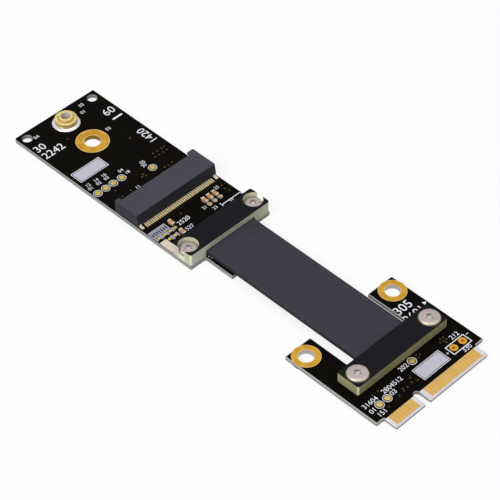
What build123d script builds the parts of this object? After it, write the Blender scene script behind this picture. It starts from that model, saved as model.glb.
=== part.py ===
"""Extension cable between an M.2 card socket and a half-length mini card edge.

Frame: +X runs from the socket board's free end to the gold fingers, +Y across, +Z up.
The origin is the middle of the footprint, on the underside of the two boards. Millimetres.
"""

from build123d import *
import os

# Boards
board_thickness = 1.0
board_corner_radius = 0.35
neck_corner_radius = 0.45
socket_board_width = 22.0
neck_length = 7.55
neck_side_margin = 0.35
board_gap = 22.1

# Edge card, a half-length mini card
card_body_length = 23.65
card_width = 30.0
tongue_length = 3.15
tongue_margin_low_side = 2.0
tongue_margin_high_side = 2.3
tongue_bevel = 0.25
key_width = 1.5
key_from_tongue_side = 8.65
key_depth_past_shoulder = 0.45
cutout_length = 9.72
ear_width = 6.95

# Gold fingers
finger_pitch = 0.8
finger_width = 0.6
finger_length = 2.4
finger_setback = 0.35
finger_end_margin = 0.45
finger_key_clearance = 2.0
copper_thickness = 0.05

# Card mounting rings
ring_setback = 2.9
ring_side_setback = 2.9
ring_diameter = 5.8
ring_hole_diameter = 3.2

# Standoff, at the far end of a seated M.2 card
standoff_setback = 3.8
standoff_shoulder_diameter = 4.8
standoff_foot_diameter = 3.6
standoff_shoulder_height = 1.35
standoff_waist_height = 0.3
standoff_spigot_diameter = 3.1
standoff_spigot_height = 0.6
standoff_bore_diameter = 2.1
standoff_edge_break = 0.12
solder_ring_diameter = 6.0
solder_ring_height = 0.3
solder_ring_toe = 0.15
solder_ring_toe_height = 0.12

# Other holes near the socket board's free end
corner_hole_setback = 1.8
corner_hole_side_setback = 1.88
corner_hole_diameter = 2.3
near_ring_step = 8.3
near_ring_diameter = 7.2
near_ring_hole_diameter = 3.5

# M.2 socket
standoff_to_mouth = 28.05
socket_body_depth = 6.0
socket_ear_depth = 0.8
socket_side_margin = 0.1
socket_height = 3.0
socket_ear_width_low = 1.1
socket_ear_width_high = 1.65
socket_front_step = 0.45
socket_front_step_height = 0.9
socket_front_slope = 0.12
slot_end_wall = 0.85
slot_floor = 1.1
slot_height = 1.45
slot_depth = 4.4
slot_mouth_chamfer = 0.25
slot_key_width = 0.95
slot_key_shift = -2.625
locating_peg_inset = 2.2
locating_peg_diameter = 1.1
locating_peg_length = 0.8
hold_down_width = 0.6
hold_down_inset = 0.25
hold_down_length = 1.5
hold_down_height = 0.5

# Socket contacts
contact_pitch = 0.5
contact_width = 0.22
contact_thickness = 0.15
contact_row_margin = 0.8
contact_groove_width = 0.3
contact_groove_depth = 0.42
contact_groove_start = 0.8
lower_groove_stop = 0.6
tail_length = 1.05
tail_rise = 0.05
riser_clearance = 0.1
arm_clearance = 0.12
arm_root = 1.2
arm_tip_setback = 1.0
arm_tip_length = 0.35
arm_tip_drop = 0.12
arm_tip_lift = 0.05
stub_height = 0.3
foot_reach = 0.3
foot_riser_setback = 0.1
lower_arm_root = 0.85
lower_arm_stop = 0.9
lower_tip_rise = 0.15

# Ribbon
ribbon_width = 13.3
ribbon_thickness = 1.45
ribbon_edge_radius = 0.6
ribbon_cover_length = 2.6

# Clamps
clamp_corner_radius = 0.5
clamp_side_clearance = 0.15
clamp_roof_clearance = 0.08
clamp_end_wall = 1.2
apron_length = 9.9
socket_clamp_depth = 5.45
socket_clamp_height = 2.9
edge_clamp_depth = 5.5
edge_clamp_side_setback = 2.5
edge_clamp_height = 2.3
edge_clamp_setback = 11.15

# Screws
socket_screw_head_diameter = 3.9
edge_screw_head_diameter = 4.35
screw_head_height = 0.8
screw_crown_width = 0.35
screw_crown_height = 0.2
screw_head_edge = 0.15
screw_shank_diameter = 2.0
screw_clearance = 0.02
counterbore_clearance = 0.15
socket_counterbore_depth = 1.55
edge_counterbore_depth = 0.25
screw_recess_span = 1.7
screw_recess_width = 0.5
screw_recess_depth = 0.4
socket_screw_side_setback = 1.95
edge_screw_side_setback = 2.45
edge_screw_shift = 0.24

# Ribbon cores, soldered to the boards under the clamps
core_count = 24
core_pitch = 0.5
core_width = 0.28
core_thickness = 0.15
core_length = 1.3
core_exit_height = 0.65
core_straight = 0.45
core_slope = 0.35
core_bend_shift = 0.1

# Small parts on the boards: distances back from the clamp, the socket's mouth or the shoulder
capacitor_length = 1.6
capacitor_width = 0.85
capacitor_height = 0.75
capacitor_cap_length = 0.35
capacitors = ((5.95, 3.8), (5.95, 5.25), (5.95, 6.7), (6.05, -5.45), (2.6, -5.6))
solder_pad_diameter = 0.75
solder_pad_rows = (
    (4.75, (-10.1, -8.5, -7.05, -5.6, 4.05, 5.55, 7.1)),
    (3.15, (-8.65, -7.1)),
)
test_pad_diameter = 1.25
socket_test_pads = ((7.2, -9.84), (7.2, -7.71), (7.2, -5.6), (7.2, -3.3), (4.95, 3.3))
card_test_pads = ((2.85, -9.0), (2.8, -11.2))
clamp_test_pad_lead = 1.2
clamp_test_pad_y = 1.1
header_pitch = 2.54
header_pad_diameter = 1.75
header_hole_diameter = 1.0
header_setback = 2.43
header_side_setback = 4.52

# Places along the cable, worked out from the sizes above
card_length = card_body_length + tongue_length
socket_front_setback = standoff_setback + standoff_to_mouth + socket_body_depth
socket_board_body_length = socket_front_setback + apron_length + socket_clamp_depth
total_length = socket_board_body_length + neck_length + board_gap + card_length
back_x = -total_length / 2
shoulder_x = back_x + socket_board_body_length
neck_end_x = shoulder_x + neck_length
card_back_x = neck_end_x + board_gap
card_shoulder_x = card_back_x + card_body_length
tongue_end_x = card_shoulder_x + tongue_length
cutout_end_x = card_back_x + cutout_length
deck_z = board_thickness

ring_x = card_back_x + ring_setback
standoff_x = back_x + standoff_setback
near_ring_x = standoff_x + near_ring_step
corner_hole_x = back_x + corner_hole_setback
header_x = card_shoulder_x - header_setback

socket_mouth_x = standoff_x + standoff_to_mouth
socket_front_x = socket_mouth_x + socket_body_depth
slot_end_x = socket_mouth_x + slot_depth

socket_clamp_front_x = shoulder_x
socket_clamp_back_x = socket_clamp_front_x - socket_clamp_depth
socket_clamp_x = socket_clamp_front_x - socket_clamp_depth / 2
edge_clamp_back_x = card_back_x + edge_clamp_setback
edge_clamp_x = edge_clamp_back_x + edge_clamp_depth / 2

# Places across it
neck_width = ribbon_width + 2 * neck_side_margin
socket_width = socket_board_width - 2 * socket_side_margin
slot_width = socket_width - 2 * slot_end_wall
edge_clamp_width = card_width - 2 * edge_clamp_side_setback
tongue_low_y = -card_width / 2 + tongue_margin_low_side
tongue_high_y = card_width / 2 - tongue_margin_high_side
key_y = tongue_low_y + key_from_tongue_side
header_y = card_width / 2 - header_side_setback
ring_y = card_width / 2 - ring_side_setback
corner_hole_y = socket_board_width / 2 - corner_hole_side_setback
peg_y = socket_width / 2 - locating_peg_inset
socket_screw_y = socket_board_width / 2 - socket_screw_side_setback
edge_screw_y = edge_clamp_width / 2 - edge_screw_side_setback

roof_height = ribbon_thickness + clamp_roof_clearance
channel_width = ribbon_width + 2 * clamp_side_clearance
ribbon_start_x = socket_clamp_front_x - ribbon_cover_length
ribbon_end_x = edge_clamp_back_x + ribbon_cover_length
screw_hole_diameter = screw_shank_diameter + 2 * screw_clearance
socket_screw_seat = socket_clamp_height - socket_counterbore_depth
edge_screw_seat = edge_clamp_height - edge_counterbore_depth

# How many contacts fit their rows
finger_group_margin = finger_key_clearance + finger_width / 2 + finger_end_margin
short_group_room = key_y - tongue_low_y - finger_group_margin
long_group_room = tongue_high_y - key_y - finger_group_margin
upper_contact_count = round((slot_width - 2 * contact_row_margin) / contact_pitch) + 1

socket_screw_places = [(socket_clamp_x, side * socket_screw_y) for side in (-1, 1)]
edge_screw_places = [(edge_clamp_x + edge_screw_shift, side * edge_screw_y) for side in (-1, 1)]
ring_places = [(ring_x, side * ring_y) for side in (-1, 1)]
corner_hole_places = [(corner_hole_x, side * corner_hole_y) for side in (-1, 1)]
header_places = [(header_x, header_y + side * header_pitch / 2) for side in (-1, 1)]
peg_places = [(socket_mouth_x + socket_body_depth / 2, side * peg_y) for side in (-1, 1)]


def spread(count, pitch):
    """Positions of a centred row."""
    return [(i - (count - 1) / 2) * pitch for i in range(count)]


def rectangle(x_low, x_high, y_low, y_high):
    """A plane rectangle between four limits."""
    centre = Location(((x_low + x_high) / 2, (y_low + y_high) / 2))
    return centre * Rectangle(x_high - x_low, y_high - y_low)


def block(x_low, x_high, y_low, y_high, z_low, z_high):
    """A block between six limits."""
    centre = Location(((x_low + x_high) / 2, (y_low + y_high) / 2, (z_low + z_high) / 2))
    return centre * Box(x_high - x_low, y_high - y_low, z_high - z_low)


def rod(place, diameter, z_low, z_high):
    """An upright round bar on a place of the deck."""
    centre = Location((place[0], place[1], (z_low + z_high) / 2))
    return centre * Cylinder(diameter / 2, z_high - z_low)


def tube(place, outer, inner, z_low, z_high):
    """An upright ring with a through hole."""
    return rod(place, outer, z_low, z_high) - rod(place, inner, z_low - 1, z_high + 1)


def side_profile(points, y_centre, width):
    """A solid of constant section: a closed outline in X and Z, spread evenly about y_centre."""
    face = Plane.XZ * make_face(Polyline(*points, close=True))
    return Pos(0, y_centre + width / 2, 0) * extrude(face, width)


def rounded_plate(outline, height, radius):
    """A flat plate whose upright corners are rounded."""
    plate = extrude(outline, height)
    return fillet(plate.edges().filter_by(Axis.Z), radius)


def cut_holes(plate, places, diameter):
    """A plate with round through holes."""
    for place in places:
        plate = plate - rod(place, diameter, -1, board_thickness + 1)
    return plate


def socket_board():
    """Long board: full width under the socket, then a narrow neck that carries the ribbon."""
    half = socket_board_width / 2
    body = rectangle(back_x, shoulder_x, -half, half)
    neck = rectangle(shoulder_x - 1, neck_end_x, -neck_width / 2, neck_width / 2)
    board = extrude(body + neck, board_thickness)
    outer = board.edges().filter_by(Axis.Z)
    inner = outer.filter_by_position(Axis.X, shoulder_x - 0.1, shoulder_x + 0.1)
    waist = [e for e in inner if abs(e.center().Y) < half - 0.1]
    board = fillet(waist, neck_corner_radius)
    tips = board.edges().filter_by(Axis.Z).filter_by_position(Axis.X, back_x - 0.1, back_x + 0.1)
    board = fillet(tips, board_corner_radius)
    board = cut_holes(board, corner_hole_places, corner_hole_diameter)
    board = board - rod((near_ring_x, 0), near_ring_diameter, 0, copper_thickness)
    board = cut_holes(board, [(near_ring_x, 0)], near_ring_hole_diameter + 2 * copper_thickness)
    board = cut_holes(board, [(standoff_x, 0)], standoff_bore_diameter)
    board = cut_holes(board, peg_places, locating_peg_diameter)
    return cut_holes(board, socket_screw_places, screw_hole_diameter)


def key_slot():
    """Rounded slot between the two finger groups."""
    end_x = card_shoulder_x - key_depth_past_shoulder
    radius = key_width / 2
    straight = rectangle(end_x + radius, tongue_end_x + 1, key_y - radius, key_y + radius)
    return extrude(straight + Pos(end_x + radius, key_y) * Circle(radius), board_thickness)


def edge_card():
    """Card with two ears, a wide cut-out for the ribbon and a keyed, bevelled tongue."""
    half = card_width / 2
    inner = half - ear_width
    body = rectangle(card_back_x, card_shoulder_x, -half, half)
    tongue = rectangle(card_shoulder_x - 1, tongue_end_x, tongue_low_y, tongue_high_y)
    window = rectangle(card_back_x - 1, cutout_end_x, -inner, inner)
    card = extrude(body + tongue - window, board_thickness)
    card = fillet(card.edges().filter_by(Axis.Z), board_corner_radius)
    nose = card.faces().sort_by(Axis.X)[-1]
    rims = nose.edges().filter_by(Axis.Y)
    card = chamfer(rims, tongue_bevel)
    card = card - key_slot() - fingers(0)
    for place in ring_places:
        card = card - rod(place, ring_diameter, 0, copper_thickness)
    card = cut_holes(card, ring_places, ring_hole_diameter + 2 * copper_thickness)
    card = cut_holes(card, header_places, header_hole_diameter)
    return cut_holes(card, edge_screw_places, screw_hole_diameter)


def finger_places():
    """Centres of the contacts along Y, in two groups either side of the key."""
    short_count = int(short_group_room / finger_pitch) + 1
    long_count = int(long_group_room / finger_pitch) + 1
    short = [key_y - finger_key_clearance - i * finger_pitch for i in range(short_count)]
    long = [key_y + finger_key_clearance + i * finger_pitch for i in range(long_count)]
    return sorted(short + long)


def fingers(z_low):
    """One face of gold contacts."""
    start = card_shoulder_x + finger_setback
    half = finger_width / 2
    return [
        block(start, start + finger_length, y - half, y + half, z_low, z_low + copper_thickness)
        for y in finger_places()
    ]


def eyelet(place, outer, inner):
    """Plating of a through hole: a land on the deck, a thin wall and a land let into the underside."""
    wall = inner + 2 * copper_thickness
    top = tube(place, outer, inner, deck_z, deck_z + copper_thickness)
    middle = tube(place, wall, inner, 0, deck_z)
    under = tube(place, outer, inner, 0, copper_thickness)
    return top + middle + under


def land_pads(places, diameter, z_low):
    """Round copper pads on one face of a board."""
    return Compound([rod(p, diameter, z_low, z_low + copper_thickness) for p in places])


def lands(places, outer, inner, z_low):
    """Annular copper lands on one face of a board."""
    return Compound([tube(p, outer, inner, z_low, z_low + copper_thickness) for p in places])


def card_mount_rings():
    """Gold lands of the ears' holes, with the thin plating of the walls between them."""
    return Compound([eyelet(place, ring_diameter, ring_hole_diameter) for place in ring_places])


def standoff():
    """Turned brass nut: a foot, a waisted body with a flat shoulder and a spigot, bored through."""
    foot = standoff_foot_diameter / 2
    body = standoff_shoulder_diameter / 2
    spigot = standoff_spigot_diameter / 2
    bore = standoff_bore_diameter / 2
    shoulder_z = standoff_shoulder_height
    top_z = shoulder_z + standoff_spigot_height
    edge = standoff_edge_break
    outline = Polyline(
        (bore, 0),
        (foot, 0),
        (foot, standoff_waist_height),
        (body, standoff_waist_height),
        (body, shoulder_z - edge),
        (body - edge, shoulder_z),
        (spigot, shoulder_z),
        (spigot, top_z - edge),
        (spigot - edge, top_z),
        (bore + edge, top_z),
        (bore, top_z - edge),
        close=True,
    )
    turned = revolve(Plane.XZ * make_face(outline), Axis.Z, 360)
    return Pos(standoff_x, 0, deck_z) * turned


def standoff_solder_ring():
    """Solder collar that holds the standoff's foot, with a sloping fillet."""
    inner = standoff_foot_diameter / 2
    outer = solder_ring_diameter / 2
    outline = Polyline(
        (inner, 0),
        (outer, 0),
        (outer - solder_ring_toe, solder_ring_toe_height),
        (standoff_shoulder_diameter / 2, solder_ring_height),
        (inner, solder_ring_height),
        close=True,
    )
    turned = revolve(Plane.XZ * make_face(outline), Axis.Z, 360)
    return Pos(standoff_x, 0, deck_z) * turned


def socket_slot():
    """Hollow of the socket: a flared mouth with a key rib left standing in it."""
    half = slot_width / 2
    floor = deck_z + slot_floor
    roof = floor + slot_height
    flare = slot_mouth_chamfer
    hollow = block(socket_mouth_x - 2, slot_end_x, -half, half, floor, roof)
    mouth = side_profile(
        [
            (socket_mouth_x - 0.01, floor - flare),
            (socket_mouth_x + flare, floor),
            (socket_mouth_x + flare, roof),
            (socket_mouth_x - 0.01, roof + flare),
        ],
        0,
        slot_width,
    )
    rib_low = slot_key_shift - slot_key_width / 2
    rib_high = slot_key_shift + slot_key_width / 2
    rib = block(socket_mouth_x + flare, slot_end_x + 1, rib_low, rib_high, floor - 1, roof + 1)
    return hollow + mouth - rib


def upper_places():
    """Contacts whose tails leave the socket's closed face."""
    return spread(upper_contact_count, contact_pitch)


def lower_places():
    """Contacts of the lower row, half a pitch along, left out behind the key rib."""
    row = spread(upper_contact_count - 1, contact_pitch)
    reach = slot_key_width / 2 + contact_pitch
    return [y for y in row if abs(y - slot_key_shift) > reach]


def engaging_upper_places():
    """Upper contacts that reach into the slot: those clear of the key rib."""
    reach = slot_key_width / 2 + contact_pitch
    return [y for y in upper_places() if abs(y - slot_key_shift) > reach]


def upper_grooves():
    """Cavities in the slot's roof and down the closed end, one for each upper contact."""
    half = contact_groove_width / 2
    floor = deck_z + slot_floor
    roof = floor + slot_height
    shaft_end = slot_end_x + contact_groove_depth
    cuts = []
    for y in engaging_upper_places():
        top = block(
            socket_mouth_x + contact_groove_start,
            shaft_end,
            y - half,
            y + half,
            roof - 0.1,
            roof + contact_groove_depth,
        )
        cuts.append(top)
    for y in upper_places():
        drop = block(slot_end_x - 0.01, shaft_end, y - half, y + half, deck_z - 1, roof)
        foot = block(
            shaft_end - 0.1,
            socket_front_x + 1,
            y - half,
            y + half,
            deck_z - 1,
            deck_z + contact_groove_depth,
        )
        cuts += [drop, foot]
    return cuts


def lower_grooves():
    """Cavities in the slot's floor, open to the mouth and to the board."""
    half = contact_groove_width / 2
    floor = deck_z + slot_floor
    low = floor - contact_groove_depth
    stop_x = slot_end_x - lower_groove_stop
    return [
        block(socket_mouth_x - 1, stop_x, y - half, y + half, low, floor + 0.1) for y in lower_places()
    ]


def socket_housing():
    """Moulded socket body: ears either side of the mouth, a stepped closed face and two pegs."""
    half = socket_width / 2
    top = deck_z + socket_height
    step_x = socket_front_x - socket_front_step
    step_z = deck_z + socket_front_step_height
    section = [
        (socket_mouth_x, deck_z),
        (socket_front_x, deck_z),
        (socket_front_x, step_z),
        (step_x + socket_front_slope, top),
        (socket_mouth_x, top),
    ]
    body = side_profile(section, 0, socket_width)
    ear_x = socket_mouth_x - socket_ear_depth
    low_ear = block(ear_x, socket_mouth_x + 0.5, -half, -half + socket_ear_width_low, deck_z, top)
    high_ear = block(ear_x, socket_mouth_x + 0.5, half - socket_ear_width_high, half, deck_z, top)
    pegs = [rod(p, locating_peg_diameter, deck_z - locating_peg_length, deck_z + 0.2) for p in peg_places]
    body = body + low_ear + high_ear + pegs
    body = body - socket_slot()
    return body - (upper_grooves() + lower_grooves())


def upper_contact(y, engaging):
    """One upper contact: a tail on the board, a riser and, where it engages, a sprung arm."""
    t = contact_thickness
    floor = deck_z + slot_floor
    roof = floor + slot_height
    tail_x = socket_front_x + tail_length
    riser_x = slot_end_x + contact_groove_depth - riser_clearance
    arm_z = roof + contact_groove_depth - arm_clearance
    points = [
        (tail_x, deck_z),
        (tail_x, deck_z + t),
        (riser_x, deck_z + t + tail_rise),
    ]
    if engaging:
        tip_x = socket_mouth_x + arm_tip_setback
        root_x = riser_x - arm_root
        knee_x = tip_x + arm_tip_length
        knee_z = roof - arm_tip_drop
        tip_z = roof + arm_tip_lift
        points += [
            (riser_x, arm_z),
            (root_x, arm_z),
            (knee_x, knee_z),
            (tip_x, tip_z),
            (tip_x, tip_z - t),
            (knee_x, knee_z - t),
            (root_x, arm_z - t),
            (riser_x - t, arm_z - t),
        ]
    else:
        points += [(riser_x, roof - stub_height), (riser_x - t, roof - stub_height)]
    points.append((riser_x - t, deck_z))
    return side_profile(points, y, contact_width)


def lower_contact(y):
    """One lower contact: a foot at the mouth and an arm that rises a little over the slot floor."""
    t = contact_thickness
    floor = deck_z + slot_floor
    foot_x = socket_mouth_x - foot_reach
    riser_x = foot_x + foot_riser_setback
    root_x = socket_mouth_x + lower_arm_root
    arm_z = floor - contact_groove_depth + arm_tip_lift
    end_x = slot_end_x - lower_arm_stop
    knee_x = end_x - arm_tip_length
    knee_z = floor + lower_tip_rise
    tip_z = floor - arm_tip_lift
    points = [
        (foot_x, deck_z),
        (foot_x, deck_z + t),
        (riser_x, deck_z + t),
        (riser_x, arm_z + t),
        (root_x, arm_z + t),
        (knee_x, knee_z),
        (end_x, tip_z),
        (end_x, tip_z - t),
        (knee_x, knee_z - t),
        (root_x, arm_z),
        (riser_x + t, arm_z),
        (riser_x + t, deck_z),
    ]
    return side_profile(points, y, contact_width)


def upper_contacts():
    """The row with tails along the socket's closed face."""
    engaging = engaging_upper_places()
    return Compound([upper_contact(y, y in engaging) for y in upper_places()])


def lower_contacts():
    """The row that is fed from the mouth."""
    return Compound([lower_contact(y) for y in lower_places()])


def hold_downs():
    """Two tin tabs soldered to the board in front of the socket's corners."""
    half = socket_width / 2
    front = socket_front_x
    tabs = []
    for side in (-1, 1):
        y = side * (half - hold_down_inset - hold_down_width / 2)
        flat = block(
            front,
            front + hold_down_length - hold_down_height,
            y - hold_down_width / 2,
            y + hold_down_width / 2,
            deck_z,
            deck_z + contact_thickness,
        )
        upright = block(
            front,
            front + contact_thickness,
            y - hold_down_width / 2,
            y + hold_down_width / 2,
            deck_z,
            deck_z + hold_down_height,
        )
        tabs.append(flat + upright)
    return Compound(tabs)


def ribbon_cable():
    """Flat shielded ribbon with soft rounded edges, lying on both boards."""
    face = Plane.YZ * Pos(0, deck_z + ribbon_thickness / 2) * RectangleRounded(
        ribbon_width, ribbon_thickness, ribbon_edge_radius
    )
    return Pos(ribbon_start_x, 0, 0) * extrude(face, ribbon_end_x - ribbon_start_x)


def cores(ribbon_x, direction):
    """Bare conductors that leave the ribbon's end and step down to the board."""
    t = core_thickness
    exit_z = deck_z + core_exit_height
    bend = core_straight
    reach = core_length
    outline = [
        (0, exit_z),
        (0, exit_z + t),
        (bend, exit_z + t),
        (bend + core_slope, deck_z + t),
        (reach, deck_z + t),
        (reach, deck_z),
        (bend + core_slope - core_bend_shift, deck_z),
        (bend - core_bend_shift, exit_z),
    ]
    points = [(ribbon_x + direction * x, z) for x, z in outline]
    return Compound([side_profile(points, y, core_width) for y in spread(core_count, core_pitch)])


def clamp(x_centre, depth, width, height, opens_towards, screw_places):
    """Pressing plate: rounded upright corners, screw holes and a channel for the ribbon below."""
    face = Location((x_centre, 0)) * Rectangle(depth, width)
    plate = Pos(0, 0, deck_z) * rounded_plate(face, height, clamp_corner_radius)
    open_x = x_centre + opens_towards * (depth / 2 + 1)
    wall_x = x_centre - opens_towards * (depth / 2 - clamp_end_wall)
    half = channel_width / 2
    channel = block(min(open_x, wall_x), max(open_x, wall_x), -half, half, deck_z - 1, deck_z + roof_height)
    plate = plate - channel
    for place in screw_places:
        plate = plate - rod(place, screw_hole_diameter, deck_z - 1, deck_z + height + 1)
    return plate


def counterbored(plate, places, head_diameter, seat, height):
    """A clamp whose screw heads are sunk; a bore that is wider than its land breaks out of the side."""
    bore = head_diameter + 2 * counterbore_clearance
    for place in places:
        plate = plate - rod(place, bore, deck_z + seat, deck_z + height + 1)
    return plate


def socket_clamp():
    """Clamp over the ribbon's end on the socket board, flush with the board's sides."""
    depth, height = socket_clamp_depth, socket_clamp_height
    plate = clamp(socket_clamp_x, depth, socket_board_width, height, 1, socket_screw_places)
    return counterbored(plate, socket_screw_places, socket_screw_head_diameter, socket_screw_seat, height)


def edge_clamp():
    """Clamp over the ribbon's end on the edge card."""
    depth, height = edge_clamp_depth, edge_clamp_height
    plate = clamp(edge_clamp_x, depth, edge_clamp_width, height, -1, edge_screw_places)
    return counterbored(plate, edge_screw_places, edge_screw_head_diameter, edge_screw_seat, height)


def screw(place, head_diameter, seat_height):
    """Pan-head screw that runs through the clamp and into the board."""
    seat = deck_z + seat_height
    top = seat + screw_head_height
    shank = screw_shank_diameter / 2
    rim = head_diameter / 2
    outline = Polyline(
        (0, 0),
        (shank, 0),
        (shank, seat),
        (rim, seat),
        (rim, top - screw_crown_height - screw_head_edge),
        (rim - screw_head_edge, top - screw_crown_height),
        (rim - screw_head_edge - screw_crown_width, top),
        (0, top),
        close=True,
    )
    turned = Pos(*place, 0) * revolve(Plane.XZ * make_face(outline), Axis.Z, 360)
    half = screw_recess_span / 2
    arm = screw_recess_width / 2
    floor = top - screw_recess_depth
    x, y = place
    recess_along = block(x - half, x + half, y - arm, y + arm, floor, top + 1)
    recess_across = block(x - arm, x + arm, y - half, y + half, floor, top + 1)
    return turned - (recess_along + recess_across)


def screws(places, head_diameter, seat_height):
    """The pair of screws of one clamp."""
    return Compound([screw(p, head_diameter, seat_height) for p in places])


def capacitor_blocks(low, high):
    """A slice of each chip capacitor, between two distances from its middle along X."""
    half = capacitor_width / 2
    top = deck_z + capacitor_height
    slices = []
    for setback, y in capacitors:
        x = socket_clamp_back_x - setback
        slices.append(block(x + low, x + high, y - half, y + half, deck_z, top))
    return slices


def capacitor_bodies():
    """Ceramic middles of the chip capacitors."""
    reach = capacitor_length / 2 - capacitor_cap_length
    return Compound(capacitor_blocks(-reach, reach))


def capacitor_ends():
    """Metal end caps of the chip capacitors."""
    inner = capacitor_length / 2 - capacitor_cap_length
    outer = capacitor_length / 2
    return Compound(capacitor_blocks(-outer, -inner) + capacitor_blocks(inner, outer))


def solder_pads():
    """Bare gold pads of the parts that are left unfitted beside the clamp."""
    places = [(socket_clamp_back_x - setback, y) for setback, row in solder_pad_rows for y in row]
    return land_pads(places, solder_pad_diameter, deck_z)


def socket_pads():
    """Test pads of the socket board, each a distance back from the socket's mouth."""
    places = [(socket_mouth_x - back, y) for back, y in socket_test_pads]
    return land_pads(places, test_pad_diameter, deck_z)


def card_pads():
    """Test pads of the edge card: one ahead of the clamp, the others back from the shoulder."""
    ahead_x = edge_clamp_x + edge_clamp_depth / 2 + clamp_test_pad_lead
    places = [(ahead_x, clamp_test_pad_y)] + [(card_shoulder_x - back, y) for back, y in card_test_pads]
    return land_pads(places, test_pad_diameter, deck_z)


nodes = {
    "socket_board": socket_board(),
    "edge_card": edge_card(),
    "ribbon_cable": ribbon_cable(),
    "socket_clamp": socket_clamp(),
    "edge_clamp": edge_clamp(),
    "socket_clamp_screws": screws(socket_screw_places, socket_screw_head_diameter, socket_screw_seat),
    "edge_clamp_screws": screws(edge_screw_places, edge_screw_head_diameter, edge_screw_seat),
    "socket_end_cores": cores(ribbon_start_x, -1),
    "card_end_cores": cores(ribbon_end_x, 1),
    "standoff": standoff(),
    "standoff_solder_ring": standoff_solder_ring(),
    "near_mount_ring": eyelet((near_ring_x, 0), near_ring_diameter, near_ring_hole_diameter),
    "socket_housing": socket_housing(),
    "socket_upper_contacts": upper_contacts(),
    "socket_lower_contacts": lower_contacts(),
    "socket_hold_downs": hold_downs(),
    "card_mount_rings": card_mount_rings(),
    "edge_fingers_top": Compound(fingers(deck_z)),
    "edge_fingers_bottom": Compound(fingers(0)),
    "header_lands": lands(header_places, header_pad_diameter, header_hole_diameter, deck_z),
    "socket_test_pads": socket_pads(),
    "card_test_pads": card_pads(),
    "solder_pads": solder_pads(),
    "capacitor_bodies": capacitor_bodies(),
    "capacitor_ends": capacitor_ends(),
}

os.makedirs("parts", exist_ok=True)
for name, shape in nodes.items():
    export_step(shape, f"parts/{name}.step")
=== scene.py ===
"""Visual model of a short ribbon extension between a card socket board and a half-length card edge.

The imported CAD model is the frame. This script gives every node its finish, replaces the parts that
deserve softer edges, adds the print, the small vias and the solder lands, and sets camera, floor and
lights.
"""

from __future__ import annotations

import logging
import math
from dataclasses import dataclass, field
from enum import Enum
from typing import Callable, Iterable, Sequence

import bmesh
import bpy
from mathutils import Matrix, Vector


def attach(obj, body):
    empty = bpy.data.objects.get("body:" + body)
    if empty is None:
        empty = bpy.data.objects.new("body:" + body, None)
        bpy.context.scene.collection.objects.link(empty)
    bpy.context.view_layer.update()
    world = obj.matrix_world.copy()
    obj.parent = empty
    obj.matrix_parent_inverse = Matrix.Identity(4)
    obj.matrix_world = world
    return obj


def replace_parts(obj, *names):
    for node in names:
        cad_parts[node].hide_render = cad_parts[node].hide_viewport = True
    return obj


LOG = logging.getLogger("cable")

Point = tuple[float, float]
Spot = tuple[float, float, float]
Colour = tuple[float, float, float]
Corner = bmesh.types.BMVert

MM = 0.001
NOISE_ROUGHNESS = 0.55

# Corners nearer than this become one, in metres and in millimetres
WELD = 1e-7
WELD_MM = 1e-4

# A radius under this, in millimetres, is a point on the axis
ON_AXIS = 1e-6

# Heights over the underside of the boards, in millimetres
DECK = 1.0
SOCKET_CLAMP_TOP = 3.9
EDGE_CLAMP_TOP = 3.3

# Axes in millimetres. One that is off the middle line has a twin across it
SOCKET_SCREW: Point = (-4.35, 9.05)
EDGE_SCREW: Point = (42.165, 10.05)
CARD_RING: Point = (30.925, 12.1)
NEAR_RING: Point = (-42.725, 0.0)
STANDOFF: Point = (-51.025, 0.0)


def tone(red: int, green: int, blue: int) -> Colour:
    """Turns a colour written as 0 to 255 into the linear values that shaders use.

    Args:
        red: Red, 0 to 255.
        green: Green, 0 to 255.
        blue: Blue, 0 to 255.

    Returns:
        The linear red, green and blue.
    """

    def linear(value: int) -> float:
        """One channel made linear by the sRGB curve."""
        v = value / 255
        return v / 12.92 if v <= 0.04045 else ((v + 0.055) / 1.055) ** 2.4

    return (linear(red), linear(green), linear(blue))


def metres(point: Point) -> Point:
    """A place in millimetres turned into metres."""
    return (point[0] * MM, point[1] * MM)


def spots(places: Sequence[Point], z: float = 0.0) -> list[Spot]:
    """Places in millimetres, all at one height, turned into metres."""
    return [(x * MM, y * MM, z * MM) for x, y in places]


# Node trees


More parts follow.
